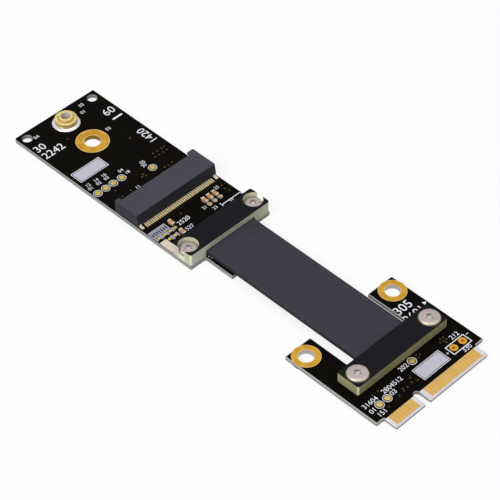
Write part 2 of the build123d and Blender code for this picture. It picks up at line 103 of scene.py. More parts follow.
class Value:
    """A number that a node gives out, for use in plain expressions."""

    def __init__(self, graph: "Graph", socket: bpy.types.NodeSocket) -> None:
        """Wraps a socket.

        Args:
            graph: The graph that the socket belongs to.
            socket: An output socket that carries a number.
        """
        self.graph = graph
        self.socket = socket

    def _math(self, operation: str, *others: "Value | float", swapped: bool = False) -> "Value":
        """One Math node with this value and others.

        Args:
            operation: The Math node's operation.
            others: The other operands.
            swapped: Whether this value comes second.

        Returns:
            The node's result.
        """
        operands = [self, *others]
        if swapped:
            operands.reverse()
        links = {i: operand for i, operand in enumerate(operands)}
        node = self.graph.node("ShaderNodeMath", {"operation": operation}, links)
        return Value(self.graph, node.outputs[0])

    def __add__(self, other: "Value | float") -> "Value":
        """Sum."""
        return self._math("ADD", other)

    def __radd__(self, other: float) -> "Value":
        """Sum, reflected."""
        return self._math("ADD", other, swapped=True)

    def __sub__(self, other: "Value | float") -> "Value":
        """Difference."""
        return self._math("SUBTRACT", other)

    def __rsub__(self, other: float) -> "Value":
        """Difference, reflected."""
        return self._math("SUBTRACT", other, swapped=True)

    def __mul__(self, other: "Value | float") -> "Value":
        """Product."""
        return self._math("MULTIPLY", other)

    def __rmul__(self, other: float) -> "Value":
        """Product, reflected."""
        return self._math("MULTIPLY", other, swapped=True)

    def __truediv__(self, other: "Value | float") -> "Value":
        """Quotient."""
        return self._math("DIVIDE", other)

    def __rtruediv__(self, other: float) -> "Value":
        """Quotient, reflected."""
        return self._math("DIVIDE", other, swapped=True)

    def __gt__(self, limit: float) -> "Value":
        """1 where the value is over the limit, else 0."""
        return self._math("GREATER_THAN", limit)

    def __lt__(self, limit: float) -> "Value":
        """1 where the value is under the limit, else 0."""
        return self._math("LESS_THAN", limit)

    def size(self) -> "Value":
        """The value without its sign."""
        return self._math("ABSOLUTE")

    def most(self, other: "Value | float") -> "Value":
        """The larger of two."""
        return self._math("MAXIMUM", other)

    def least(self, other: "Value | float") -> "Value":
        """The smaller of two."""
        return self._math("MINIMUM", other)

    def root(self) -> "Value":
        """Square root."""
        return self._math("SQRT")

    def wave(self) -> "Value":
        """Sine."""
        return self._math("SINE")

    def wrap(self) -> "Value":
        """What is left over a whole number."""
        return self._math("FRACT")

    def rise(self, low: float, high: float) -> "Value":
        """A straight climb from 0 at low to 1 at high, flat outside.

        Args:
            low: Where the climb starts.
            high: Where it ends.

        Returns:
            A mask from 0 to 1.
        """
        node = self.graph.node(
            "ShaderNodeMapRange",
            {"clamp": True},
            {"Value": self, "From Min": low, "From Max": high, "To Min": 0.0, "To Max": 1.0},
        )
        return Value(self.graph, node.outputs[0])


Link = "Value | bpy.types.NodeSocket | float | Sequence[float]"


class Tree:
    """A node tree, built with one method for any node."""

    def __init__(self, tree: bpy.types.NodeTree) -> None:
        """Takes the tree to build in."""
        self.tree = tree

    def node(self, kind: str, settings: dict | None = None, inputs: dict | None = None) -> bpy.types.Node:
        """Makes any node.

        Args:
            kind: The node's type.
            settings: Its own properties, set first.
            inputs: Values or links of its sockets, by name or number.

        Returns:
            The node.
        """
        made = self.tree.nodes.new(kind)
        for name, value in (settings or {}).items():
            setattr(made, name, value)
        for name, value in (inputs or {}).items():
            self.join(made.inputs[name], value)
        return made

    def join(self, socket: bpy.types.NodeSocket, value: Link) -> None:
        """Links or sets one socket.

        Args:
            socket: The input.
            value: A value, a socket, a number or a colour.
        """
        if isinstance(value, Value):
            self.tree.links.new(value.socket, socket)
        elif isinstance(value, bpy.types.NodeSocket):
            self.tree.links.new(value, socket)
        elif isinstance(value, (tuple, list)) and socket.type == "RGBA":
            socket.default_value = (*value[:3], 1.0)
        else:
            socket.default_value = value


class Graph(Tree):
    """A material's node tree."""

    def __init__(self, name: str) -> None:
        """Starts an empty material with one shader and one output.

        Args:
            name: The material's name.
        """
        self.material = bpy.data.materials.new(name)
        self.material.use_nodes = True
        super().__init__(self.material.node_tree)
        self.tree.nodes.clear()
        self.shader = self.node("ShaderNodeBsdfPrincipled")
        output = self.node("ShaderNodeOutputMaterial")
        self.surface = output.inputs["Surface"]
        self.join(self.surface, self.shader.outputs[0])
        self._object = self.node("ShaderNodeTexCoord").outputs["Object"]

    def place(self) -> tuple[Value, Value, Value]:
        """Where a point is on the object, in metres."""
        split = self.node("ShaderNodeSeparateXYZ", inputs={0: self._object})
        return tuple(Value(self, split.outputs[i]) for i in range(3))

    def upward(self) -> Value:
        """How far the surface faces up, from -1 to 1."""
        normal = self.node("ShaderNodeNewGeometry").outputs["Normal"]
        return Value(self, self.node("ShaderNodeSeparateXYZ", inputs={0: normal}).outputs[2])

    def radius(self, centre: Point) -> Value:
        """How far a point is from an upright axis, or from that axis' mirror image across Y.

        Args:
            centre: The axis along X and Y, in metres.

        Returns:
            The distance in metres.
        """
        x, y, _ = self.place()
        across = x - centre[0]
        along = y.size() - centre[1]
        return (across * across + along * along).root()

    def stretched(self, x: float, y: float, z: float) -> bpy.types.NodeSocket:
        """Object coordinates scaled along each axis.

        Args:
            x: Factor along X.
            y: Factor along Y.
            z: Factor along Z.

        Returns:
            The scaled vector.
        """
        mapping = self.node("ShaderNodeMapping", {"vector_type": "POINT"}, {"Vector": self._object})
        mapping.inputs["Scale"].default_value = (x, y, z)
        return mapping.outputs[0]

    def noise(self, scale: float, detail: float = 2.0, vector: Link | None = None) -> Value:
        """Soft noise from 0 to 1.

        Args:
            scale: Cells per metre.
            detail: Octaves.
            vector: Other coordinates than the object's own.

        Returns:
            The noise.
        """
        inputs = {"Vector": vector or self._object, "Scale": scale, "Detail": detail}
        inputs["Roughness"] = NOISE_ROUGHNESS
        return Value(self, self.node("ShaderNodeTexNoise", inputs=inputs).outputs[0])

    def blend(self, factor: Value | float, low: Link, high: Link) -> bpy.types.NodeSocket:
        """Mixes two colours.

        Args:
            factor: 0 for the first, 1 for the second.
            low: First colour.
            high: Second colour.

        Returns:
            The mixed colour.
        """
        mix = self.node("ShaderNodeMix", {"data_type": "RGBA"}, {0: factor, 6: low, 7: high})
        return mix.outputs[2]

    def relief(self, height: Value, depth: float) -> None:
        """Gives the shader a bump.

        Args:
            height: The pattern, about 0 to 1.
            depth: How deep the pattern is, in metres.
        """
        bump = self.node("ShaderNodeBump", inputs={"Height": height, "Distance": depth, "Strength": 1.0})
        self.join(self.shader.inputs["Normal"], bump.outputs[0])

    def dress(self, **sockets: Link) -> bpy.types.Material:
        """Sets or links the shader's sockets and hands back the material.

        Args:
            sockets: Socket names with underscores for blanks.

        Returns:
            The finished material.
        """
        for name, value in sockets.items():
            self.join(self.shader.inputs[name.replace("_", " ")], value)
        return self.material


# Finishes


@dataclass(frozen=True)
class BoardFinish:
    """Solder mask on both faces, bare glass-epoxy on every cut edge."""

    name: str = "solder_mask"
    mask: Colour = tone(11, 10, 8)
    mask_over_copper: Colour = tone(17, 14, 9)
    edge_pale: Colour = tone(172, 172, 170)
    edge_core: Colour = tone(112, 111, 110)
    tongue: Colour = tone(222, 202, 164)
    margin: Colour = tone(228, 224, 232)
    finger_end_x: float = 54.44 * MM
    finger_groups: tuple[Point, ...] = (metres((-12.28, -6.02)), metres((-2.68, 11.58)))
    thickness: float = DECK * MM
    skin: float = 0.03 * MM
    bevel: float = 0.3 * MM
    core_fade: Point = (0.05 * MM, 0.2 * MM)
    relief_depth: float = 0.004 * MM
    bare_from_x: float | None = None
    gloss: float = 0.01

    def material(self) -> bpy.types.Material:
        """Builds the finish.

        Returns:
            Its material.
        """
        g = Graph(self.name)
        x, y, z = g.place()
        top = z > self.thickness - self.skin
        bottom = z < self.skin
        masked = top.most(bottom)
        if self.bare_from_x is not None:
            masked = masked * (x < self.bare_from_x)
        planes = g.noise(260.0, 1.0).rise(0.46, 0.5)
        cloud = g.noise(900.0, 3.0)
        ink = g.blend(planes * 0.35 + cloud * 0.2, self.mask, self.mask_over_copper)
        middle = (z - self.thickness / 2).size().rise(*self.core_fade)
        weave = g.noise(1.0, 2.0, g.stretched(2400.0, 2400.0, 9000.0))
        edge = g.blend(middle * 0.8 + weave * 0.2, self.edge_core, self.edge_pale)
        if self.bare_from_x is not None:
            grouped = sum((y > low) * (y < high) for low, high in self.finger_groups)
            between = grouped * (x < self.finger_end_x)
            bevel = g.blend(weave * 0.25, g.blend(between, self.margin, self.tongue), self.edge_pale)
            past = (x > self.bare_from_x) * (z > self.thickness - self.bevel).most(z < self.bevel)
            edge = g.blend(past, edge, bevel)
        g.relief(cloud * 0.5 + planes * 0.5, self.relief_depth)
        return g.dress(
            Base_Color=g.blend(masked, edge, ink),
            Roughness=0.72 - masked * 0.3 + cloud * 0.06,
            Specular_IOR_Level=self.gloss,
        )


@dataclass(frozen=True)
class PressPlateFinish:
    """Thick laminate: satin black faces, olive cut sides with the glass layers showing.

    The walls of the counterbores that sink the screws are painted paler than the sides, a painted highlight,
    and the rounded upright corners carry a painted highlight too.
    """

    name: str
    high_z: float
    centre_x: float
    half_depth: float
    half_width: float
    side: Colour
    layer: Colour
    bore: Point
    bore_radius: float
    # Painted highlight: the counterbore walls are painted paler than the cut sides.
    painted_bore_highlight: Colour = tone(222, 222, 196)
    face: Colour = tone(18, 19, 22)
    face_grain: Colour = tone(24, 25, 29)
    # Painted highlight along the rounded upright corners.
    corner: Colour = tone(236, 240, 196)
    low_z: float = DECK * MM
    corner_radius: float = 0.5 * MM
    corner_highlight_fade: Point = (0.95, 0.35)
    skin: float = 0.03 * MM
    layer_count: float = 10.0
    relief_depth: float = 0.006 * MM

    def material(self) -> bpy.types.Material:
        """Builds the finish.

        Returns:
            Its material.
        """
        g = Graph(self.name)
        x, y, z = g.place()
        top = z > self.high_z - self.skin
        bottom = z < self.low_z + self.skin
        faces = top.most(bottom)
        height = (z - self.low_z) / (self.high_z - self.low_z)
        wave = g.noise(1.0, 1.0, g.stretched(300.0, 300.0, 9000.0))
        layers = ((height * self.layer_count + wave).wrap() - 0.5).size().rise(0.1, 0.4)
        fibre = g.noise(1.0, 3.0, g.stretched(2600.0, 2600.0, 12000.0))
        side = g.blend(layers * 0.7 + fibre * 0.25, self.layer, self.side)
        # Painted highlight along the rounded upright corners, broken by the glass layers.
        start, full = (share * self.corner_radius for share in self.corner_highlight_fade)
        end_wall = (x - self.centre_x).size().rise(self.half_depth - start, self.half_depth - full)
        side_wall = y.size().rise(self.half_width - start, self.half_width - full)
        side = g.blend(end_wall.least(side_wall) * (layers * 0.25 + 0.75), side, self.corner)
        # Painted highlight on the upright walls of the counterbores.
        bored = 1 - g.radius(self.bore).rise(self.bore_radius + self.skin, self.bore_radius + 2 * self.skin)
        upright = 1 - g.upward().size().rise(0.3, 0.7)
        side = g.blend(bored * upright * 0.9, side, self.painted_bore_highlight)
        grain = g.noise(9000.0, 2.0)
        face = g.blend(grain * 0.7, self.face, self.face_grain)
        g.relief(faces * grain * 0.4 + (1 - faces) * (fibre * 0.6 + layers * 0.3), self.relief_depth)
        return g.dress(
            Base_Color=g.blend(faces, side, face),
            Roughness=0.6 - faces * 0.12 + grain * 0.08,
            Specular_IOR_Level=0.05,
        )


@dataclass(frozen=True)
class MetalFinish:
    """A plated or turned metal with fine marks; a turned one has its bore painted pale, a painted highlight.
    """

    name: str
    colour: Colour
    worn: Colour
    roughness: float = 0.3
    mark_scale: float = 2500.0
    mark_depth: float = 0.002 * MM
    turned_about: Point | None = None
    bore_radius: float = 0.0
    # Painted highlight: the bore of a turned piece is painted this pale colour.
    bore: Colour = tone(214, 204, 190)
    metal: float = 1.0
    tool_pitch: float = 0.09 * MM
    bore_highlight_fade: Point = (0.02 * MM, 0.06 * MM)

    def material(self) -> bpy.types.Material:
        """Builds the finish.

        Returns:
            Its material.
        """
        g = Graph(self.name)
        marks = g.noise(self.mark_scale, 3.0)
        if self.turned_about is not None:
            _, _, z = g.place()
            tool = ((g.radius(self.turned_about) + z * 0.7) * (2 * math.pi / self.tool_pitch)).wave()
            marks = marks * 0.5 + tool * 0.12 + 0.25
        stain = g.noise(self.mark_scale * 0.18, 2.0).rise(0.35, 0.75)
        plate, metal = g.blend(stain * 0.55, self.colour, self.worn), self.metal
        if self.turned_about is not None:
            # Painted highlight: the bore is painted pale and made less metallic.
            near, far = (self.bore_radius + fade for fade in self.bore_highlight_fade)
            inside = 1 - g.radius(self.turned_about).rise(near, far)
            plate, metal = g.blend(inside, plate, self.bore), self.metal - inside * 0.7
        g.relief(marks, self.mark_depth)
        return g.dress(
            Base_Color=plate,
            Metallic=metal,
            Roughness=marks * 0.16 + (self.roughness - 0.06),
        )


@dataclass(frozen=True)
class RingFinish:
    """Gold land of a mounting hole: paler along its rims as a painted highlight, darker down the wall of the
    hole as painted shade and reflection.
    """

    name: str
    centre: Point
    inner: float
    outer: float
    colour: Colour = tone(208, 158, 62)
    worn: Colour = tone(184, 136, 34)
    # Painted highlight along the rims of the land.
    rim_highlight: Colour = tone(232, 212, 150)
    rim_share: float = 0.4
    rim_width: float = 0.18 * MM
    # Painted shade and reflection colour for the wall of the hole.
    wall: Colour = tone(172, 166, 168)
    scratch_depth: float = 0.003 * MM

    def material(self) -> bpy.types.Material:
        """Builds the finish.

        Returns:
            Its material.
        """
        g = Graph(self.name)
        radius = g.radius(self.centre)
        width = self.rim_width
        # Painted highlight along both rims.
        outer = radius.rise(self.outer - width, self.outer - 0.5 * width)
        inner = 1 - radius.rise(self.inner + 0.5 * width, self.inner + width)
        scratches = g.noise(1.0, 3.0, g.stretched(1500.0, 5200.0, 1500.0))
        stain = g.noise(620.0, 2.0).rise(0.4, 0.62)
        plate = g.blend(stain * 0.75 + scratches * 0.2, self.colour, self.worn)
        face = g.blend(outer.most(inner) * self.rim_share, plate, self.rim_highlight)
        g.relief(scratches, self.scratch_depth)
        # The wall of the hole gets its painted shade and reflection colour.
        return g.dress(
            Base_Color=g.blend(g.upward().size().rise(0.3, 0.7), self.wall, face),
            Metallic=1.0,
            Roughness=scratches * 0.16 + 0.28,
        )


@dataclass(frozen=True)
class ScrewFinish:
    """Nickel-plated steel, dulled by turning marks, with a cross recess; its edge is paler as a painted
    highlight, its upright sides carry painted shade, and its recess has painted shade on the walls and a
    painted highlight on the floor.
    """

    name: str
    centre: Point
    top: float
    head_radius: float
    recess_reach: float = 1.02 * MM
    colour: Colour = tone(182, 170, 168)
    worn: Colour = tone(162, 149, 144)
    # Painted light: a highlight near the edge of the head, shade on its upright sides, a highlight on the
    # recess floor and shade on the recess walls.
    rim_highlight: Colour = tone(196, 190, 166)
    side: Colour = tone(158, 148, 130)
    floor: Colour = tone(198, 187, 196)
    shade: Colour = tone(132, 118, 120)
    turning_pitch: float = 0.16 * MM
    recess_fade: Point = (0.2 * MM, 0.03 * MM)
    recess_limit: float = 0.75 * MM
    rim_fade: Point = (0.42 * MM, 0.2 * MM)
    mark_depth: float = 0.003 * MM

    def material(self) -> bpy.types.Material:
        """Builds the finish.

        Returns:
            Its material.
        """
        g = Graph(self.name)
        _, _, z = g.place()
        radius = g.radius(self.centre)
        turning = (radius * (2 * math.pi / self.turning_pitch)).wave()
        marks = g.noise(2100.0, 3.0)
        stain = g.noise(520.0, 2.0).rise(0.35, 0.7)
        # The recess: painted shade on its steep walls, a painted highlight on its floor.
        deep = 1 - z.rise(self.top - self.recess_fade[0], self.top - self.recess_fade[1])
        recess = deep * (radius < self.recess_reach) * (z > self.top - self.recess_limit)
        painted_recess_light = g.blend(g.upward().rise(0.4, 0.8), self.shade, self.floor)
        # Painted highlight near the edge of the head.
        edge = radius.rise(self.head_radius - self.rim_fade[0], self.head_radius - self.rim_fade[1])
        plate = g.blend(stain * 0.6 + marks * 0.25, self.colour, self.worn)
        # Painted shade on the upright sides of the head.
        head = g.blend(g.upward().rise(0.2, 0.8), self.side, g.blend(edge * 0.7, plate, self.rim_highlight))
        g.relief(marks * 0.6 + turning * 0.2, self.mark_depth)
        return g.dress(
            Base_Color=g.blend(recess, head, painted_recess_light),
            Metallic=0.85,
            Roughness=marks * 0.18 + 0.36,
        )


@dataclass(frozen=True)
class MouldedFinish:
    """Moulded or extruded plastic with a fine grain; where an upright colour is given, the upright faces are
    painted darker as painted shade.
    """

    name: str
    colour: Colour
    shade: Colour
    roughness: float = 0.55
    gloss: float = 0.2
    grain_scale: float = 5200.0
    grain_depth: float = 0.006 * MM
    flow: float = 1.0
    # Painted shade colour for the upright faces.
    upright: Colour | None = None

    def material(self) -> bpy.types.Material:
        """Builds the finish.

        Returns:
            Its material.
        """
        g = Graph(self.name)
        fine = self.grain_scale
        grain = g.noise(1.0, 3.0, g.stretched(fine * self.flow, fine, fine))
        cloud = g.noise(220.0, 2.0).rise(0.3, 0.7)
        base = g.blend(cloud * 0.5 + grain * 0.3, self.colour, self.shade)
        # Painted shade: upright faces are darker than the top.
        if self.upright is not None:
            base = g.blend(g.upward().size().rise(0.3, 0.8), self.upright, base)
        g.relief(grain, self.grain_depth)
        return g.dress(
            Base_Color=base,
            Roughness=grain * 0.14 + (self.roughness - 0.07),
            Specular_IOR_Level=self.gloss,
        )


@dataclass(frozen=True)
class InkFinish:
    """Screen-printed ink, or a pale pad laid like ink, a little uneven."""

    name: str = "white_ink"
    colour: Colour = tone(244, 243, 252)
    thin: Colour = tone(220, 218, 230)
    relief_depth: float = 0.004 * MM

    def material(self) -> bpy.types.Material:
        """Builds the finish.

        Returns:
            Its material.
        """
        g = Graph(self.name)
        mottle = g.noise(3200.0, 3.0)
        g.relief(mottle, self.relief_depth)
        return g.dress(
            Base_Color=g.blend(mottle.rise(0.5, 0.85), self.colour, self.thin),
            Roughness=mottle * 0.1 + 0.5,
            Specular_IOR_Level=0.1,
        )


# Meshes


def finished(name: str, mesh: bpy.types.Mesh, material: bpy.types.Material) -> bpy.types.Object:
    """Puts a mesh into the scene as a piece that rides on the body.

    Args:
        name: The piece's name.
        mesh: Its mesh, in place and in metres.
        material: Its only material.

    Returns:
        The piece.
    """
    mesh.materials.clear()
    mesh.materials.append(material)
    piece = bpy.data.objects.new(name, mesh)
    bpy.context.scene.collection.objects.link(piece)
    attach(piece, "root")
    LOG.info("piece %s: %d faces", name, len(mesh.polygons))
    return piece


def mesh_of(build: Callable[[bmesh.types.BMesh], None], name: str) -> bpy.types.Mesh:
    """Runs a builder on an empty bmesh and keeps the result.

    Args:
        build: Adds the geometry, in millimetres.
        name: The mesh's name.

    Returns:
        The mesh, in metres, with normals outwards.
    """
    bm = bmesh.new()
    build(bm)
    bmesh.ops.remove_doubles(bm, verts=bm.verts, dist=WELD_MM)
    bmesh.ops.recalc_face_normals(bm, faces=bm.faces)
    bmesh.ops.scale(bm, vec=(MM, MM, MM), verts=bm.verts)
    mesh = bpy.data.meshes.new(name)
    bm.to_mesh(mesh)
    bm.free()
    return mesh


def joined(name: str, parts: Sequence[bpy.types.Mesh]) -> bpy.types.Mesh:
    """Joins several meshes into one and removes them.

    Args:
        name: The new mesh's name.
        parts: The meshes, each in its place.

    Returns:
        The one mesh.
    """
    bm = bmesh.new()
    for part in parts:
        bm.from_mesh(part)
        bpy.data.meshes.remove(part)
    mesh = bpy.data.meshes.new(name)
    bm.to_mesh(mesh)
    bm.free()
    return mesh


def weld(mesh: bpy.types.Mesh, more: Iterable[bpy.types.Mesh] = ()) -> None:
    """Adds further meshes to one, merges corners that meet and turns its faces outwards.

    Args:
        mesh: The mesh that is changed.
        more: Meshes that go into it and are removed.
    """
    bm = bmesh.new()
    bm.from_mesh(mesh)
    for part in more:
        bm.from_mesh(part)
        bpy.data.meshes.remove(part)
    bmesh.ops.remove_doubles(bm, verts=bm.verts, dist=WELD)
    bmesh.ops.recalc_face_normals(bm, faces=bm.faces)
    bm.to_mesh(mesh)
    bm.free()


def add_wall(bm: bmesh.types.BMesh, low: Sequence[Corner], high: Sequence[Corner]) -> None:
    """Joins two rings that have as many corners as each other.

    Args:
        bm: Where it goes.
        low: First ring.
        high: Second ring.
    """
    for i in range(len(low)):
        j = (i + 1) % len(low)
        bm.faces.new((low[i], low[j], high[j], high[i]))


def add_prism(bm: bmesh.types.BMesh, outline: Sequence[Point], low: float, high: float) -> None:
    """Adds an upright closed prism.

    Args:
        bm: Where it goes.
        outline: Corners in order.
        low: Height of its underside.
        high: Height of its top.
    """
    bottom = [bm.verts.new((x, y, low)) for x, y in outline]
    top = [bm.verts.new((x, y, high)) for x, y in outline]
    bm.faces.new(bottom[::-1])
    bm.faces.new(top)
    add_wall(bm, bottom, top)


def add_band(
    bm: bmesh.types.BMesh, outer: Sequence[Point], inner: Sequence[Point], low: float, high: float
) -> None:
    """Adds a closed flat ring between two outlines with the same number of corners.

    Args:
        bm: Where it goes.
        outer: Outer corners.
        inner: Inner corners.
        low: Height of its underside.
        high: Height of its top.
    """
    rings = [
        [bm.verts.new((x, y, z)) for x, y in line]
        for line, z in ((outer, low), (outer, high), (inner, high), (inner, low))
    ]
    for a, b in zip(rings, rings[1:] + rings[:1]):
        add_wall(bm, a, b)


def circle(x: float, y: float, radius: float, corners: int = 40) -> list[Point]:
    """Corners of a circle.

    Args:
        x: Centre along X.
        y: Centre along Y.
        radius: Its radius.
        corners: How many corners it has.

    Returns:
        The corners in order.
    """
    turn = 2 * math.pi / corners
    return [(x + radius * math.cos(i * turn), y + radius * math.sin(i * turn)) for i in range(corners)]


def rounded(x0: float, x1: float, y0: float, y1: float, radius: float, steps: int = 4) -> list[Point]:
    """Corners of a rectangle with round corners.

    Args:
        x0: Lowest X.
        x1: Highest X.
        y0: Lowest Y.
        y1: Highest Y.
        radius: Corner radius.
        steps: Pieces of each corner.

    Returns:
        The corners in order.
    """
    left, right, near, far = x0 + radius, x1 - radius, y0 + radius, y1 - radius
    centres = ((right, far), (left, far), (left, near), (right, near))
    outline = []
    for quarter, (cx, cy) in enumerate(centres):
        for i in range(steps + 1):
            a = math.pi / 2 * (quarter + i / steps)
            outline.append((cx + radius * math.cos(a), cy + radius * math.sin(a)))
    return outline


def add_turned(bm: bmesh.types.BMesh, profile: Sequence[Point], x: float, y: float, corners: int) -> None:
    """Adds a turned solid: a closed profile of radius and height carried round an upright axis.

    Args:
        bm: Where it goes.
        profile: Radius and height of each corner, none of them on the axis unless it is an end.
        x: Axis along X.
        y: Axis along Y.
        corners: Pieces of the full turn.
    """
    rings = []
    for radius, height in profile:
        if radius < ON_AXIS:
            rings.append([bm.verts.new((x, y, height))])
        else:
            rings.append([bm.verts.new((px, py, height)) for px, py in circle(x, y, radius, corners)])
    closed = len(rings[0]) > 1 and len(rings[-1]) > 1
    pairs = list(zip(rings, rings[1:])) + ([(rings[-1], rings[0])] if closed else [])
    for a, b in pairs:
        if len(a) > 1 and len(b) > 1:
            add_wall(bm, a, b)
            continue
        for i in range(corners):
            j = (i + 1) % corners
            bm.faces.new((a[0], b[i], b[j]) if len(a) == 1 else (a[i], a[j], b[0]))


def smooth(mesh: bpy.types.Mesh, degrees: float = 32.0) -> None:
    """Smooths a mesh apart from its sharp edges.

    Args:
        mesh: The mesh.
        degrees: Edges sharper than this stay sharp.
    """
    mesh.shade_smooth()
    mesh.set_sharp_from_angle(angle=math.radians(degrees))


# Geometry Nodes


class Recipe(Tree):
    """A Geometry Nodes tree with named inputs, run once and kept as a plain mesh."""

    def __init__(self, name: str) -> None:
        """Starts an empty tree.

        Args:
            name: The tree's name.
        """
        super().__init__(bpy.data.node_groups.new(name, "GeometryNodeTree"))
        for way in ("INPUT", "OUTPUT"):
            self.tree.interface.new_socket("Geometry", in_out=way, socket_type="NodeSocketGeometry")
        self.values: dict[str, float | int] = {}
        self.source = self.tree.nodes.new("NodeGroupInput")
        self.result = self.tree.nodes.new("NodeGroupOutput")

    def size(self, name: str, value: float | int) -> bpy.types.NodeSocket:
        """Adds a named input.

        Args:
            name: The input's name.
            value: What it is set to.

        Returns:
            The socket that gives it to the tree.
        """
        kind = "NodeSocketInt" if isinstance(value, int) else "NodeSocketFloat"
        item = self.tree.interface.new_socket(name, in_out="INPUT", socket_type=kind)
        self.values[item.identifier] = value
        return self.source.outputs[name]

    def finish(self, geometry: bpy.types.NodeSocket, material: bpy.types.Material) -> None:
        """Ends the tree in Realize Instances and Set Material.

        Args:
            geometry: What the tree has made.
            material: The finish of all of it.
        """
        real = self.node("GeometryNodeRealizeInstances", inputs={0: geometry})
        inputs = {"Geometry": real.outputs[0], "Material": material}
        self.join(self.result.inputs[0], self.node("GeometryNodeSetMaterial", inputs=inputs).outputs[0])

    def run(self, name: str, points: Sequence[Spot] = ()) -> bpy.types.Mesh:
        """Runs the tree on a set of points.

        Args:
            name: The mesh's name.
            points: Places in metres, as the tree's own geometry.

        Returns:
            The plain mesh.
        """
        seed = bpy.data.meshes.new(name + "_points")
        seed.from_pydata([Vector(p) for p in points], [], [])
        carrier = bpy.data.objects.new(name + "_carrier", seed)
        bpy.context.scene.collection.objects.link(carrier)
        modifier = carrier.modifiers.new("recipe", "NODES")
        modifier.node_group = self.tree
        for identifier, value in self.values.items():
            modifier[identifier] = value
        evaluated = carrier.evaluated_get(bpy.context.evaluated_depsgraph_get())
        mesh = bpy.data.meshes.new_from_object(evaluated)
        mesh.name = name
        bpy.data.objects.remove(carrier)
        return mesh


def stamp(
    name: str, places: Sequence[Spot], shape: bpy.types.Mesh, material: bpy.types.Material
) -> bpy.types.Mesh:
    """Puts one small shape on many places with Geometry Nodes.

    Args:
        name: The mesh's name.
        places: Where the copies go, in metres.
        shape: The shape, round its own origin, in metres.
        material: Its finish.

    Returns:
        One plain mesh of all copies.
    """
    pattern = bpy.data.objects.new(name + "_pattern", shape)
    bpy.context.scene.collection.objects.link(pattern)
    recipe = Recipe(name + "_recipe")
    grow = recipe.size("Size", 1.0)
    info = recipe.node("GeometryNodeObjectInfo", inputs={"Object": pattern})
    cloud = recipe.node("GeometryNodeMeshToPoints", inputs={"Mesh": recipe.source.outputs["Geometry"]})
    spread = recipe.node(
        "GeometryNodeInstanceOnPoints",
        inputs={"Points": cloud.outputs[0], "Instance": info.outputs["Geometry"], "Scale": grow},
    )
    recipe.finish(spread.outputs[0], material)
    mesh = recipe.run(name, places)
    bpy.data.objects.remove(pattern)
    return mesh


# Sub-assemblies


class Face(Enum):
    """Which side of a board a mark is printed on."""

    TOP = 1
    UNDERSIDE = -1


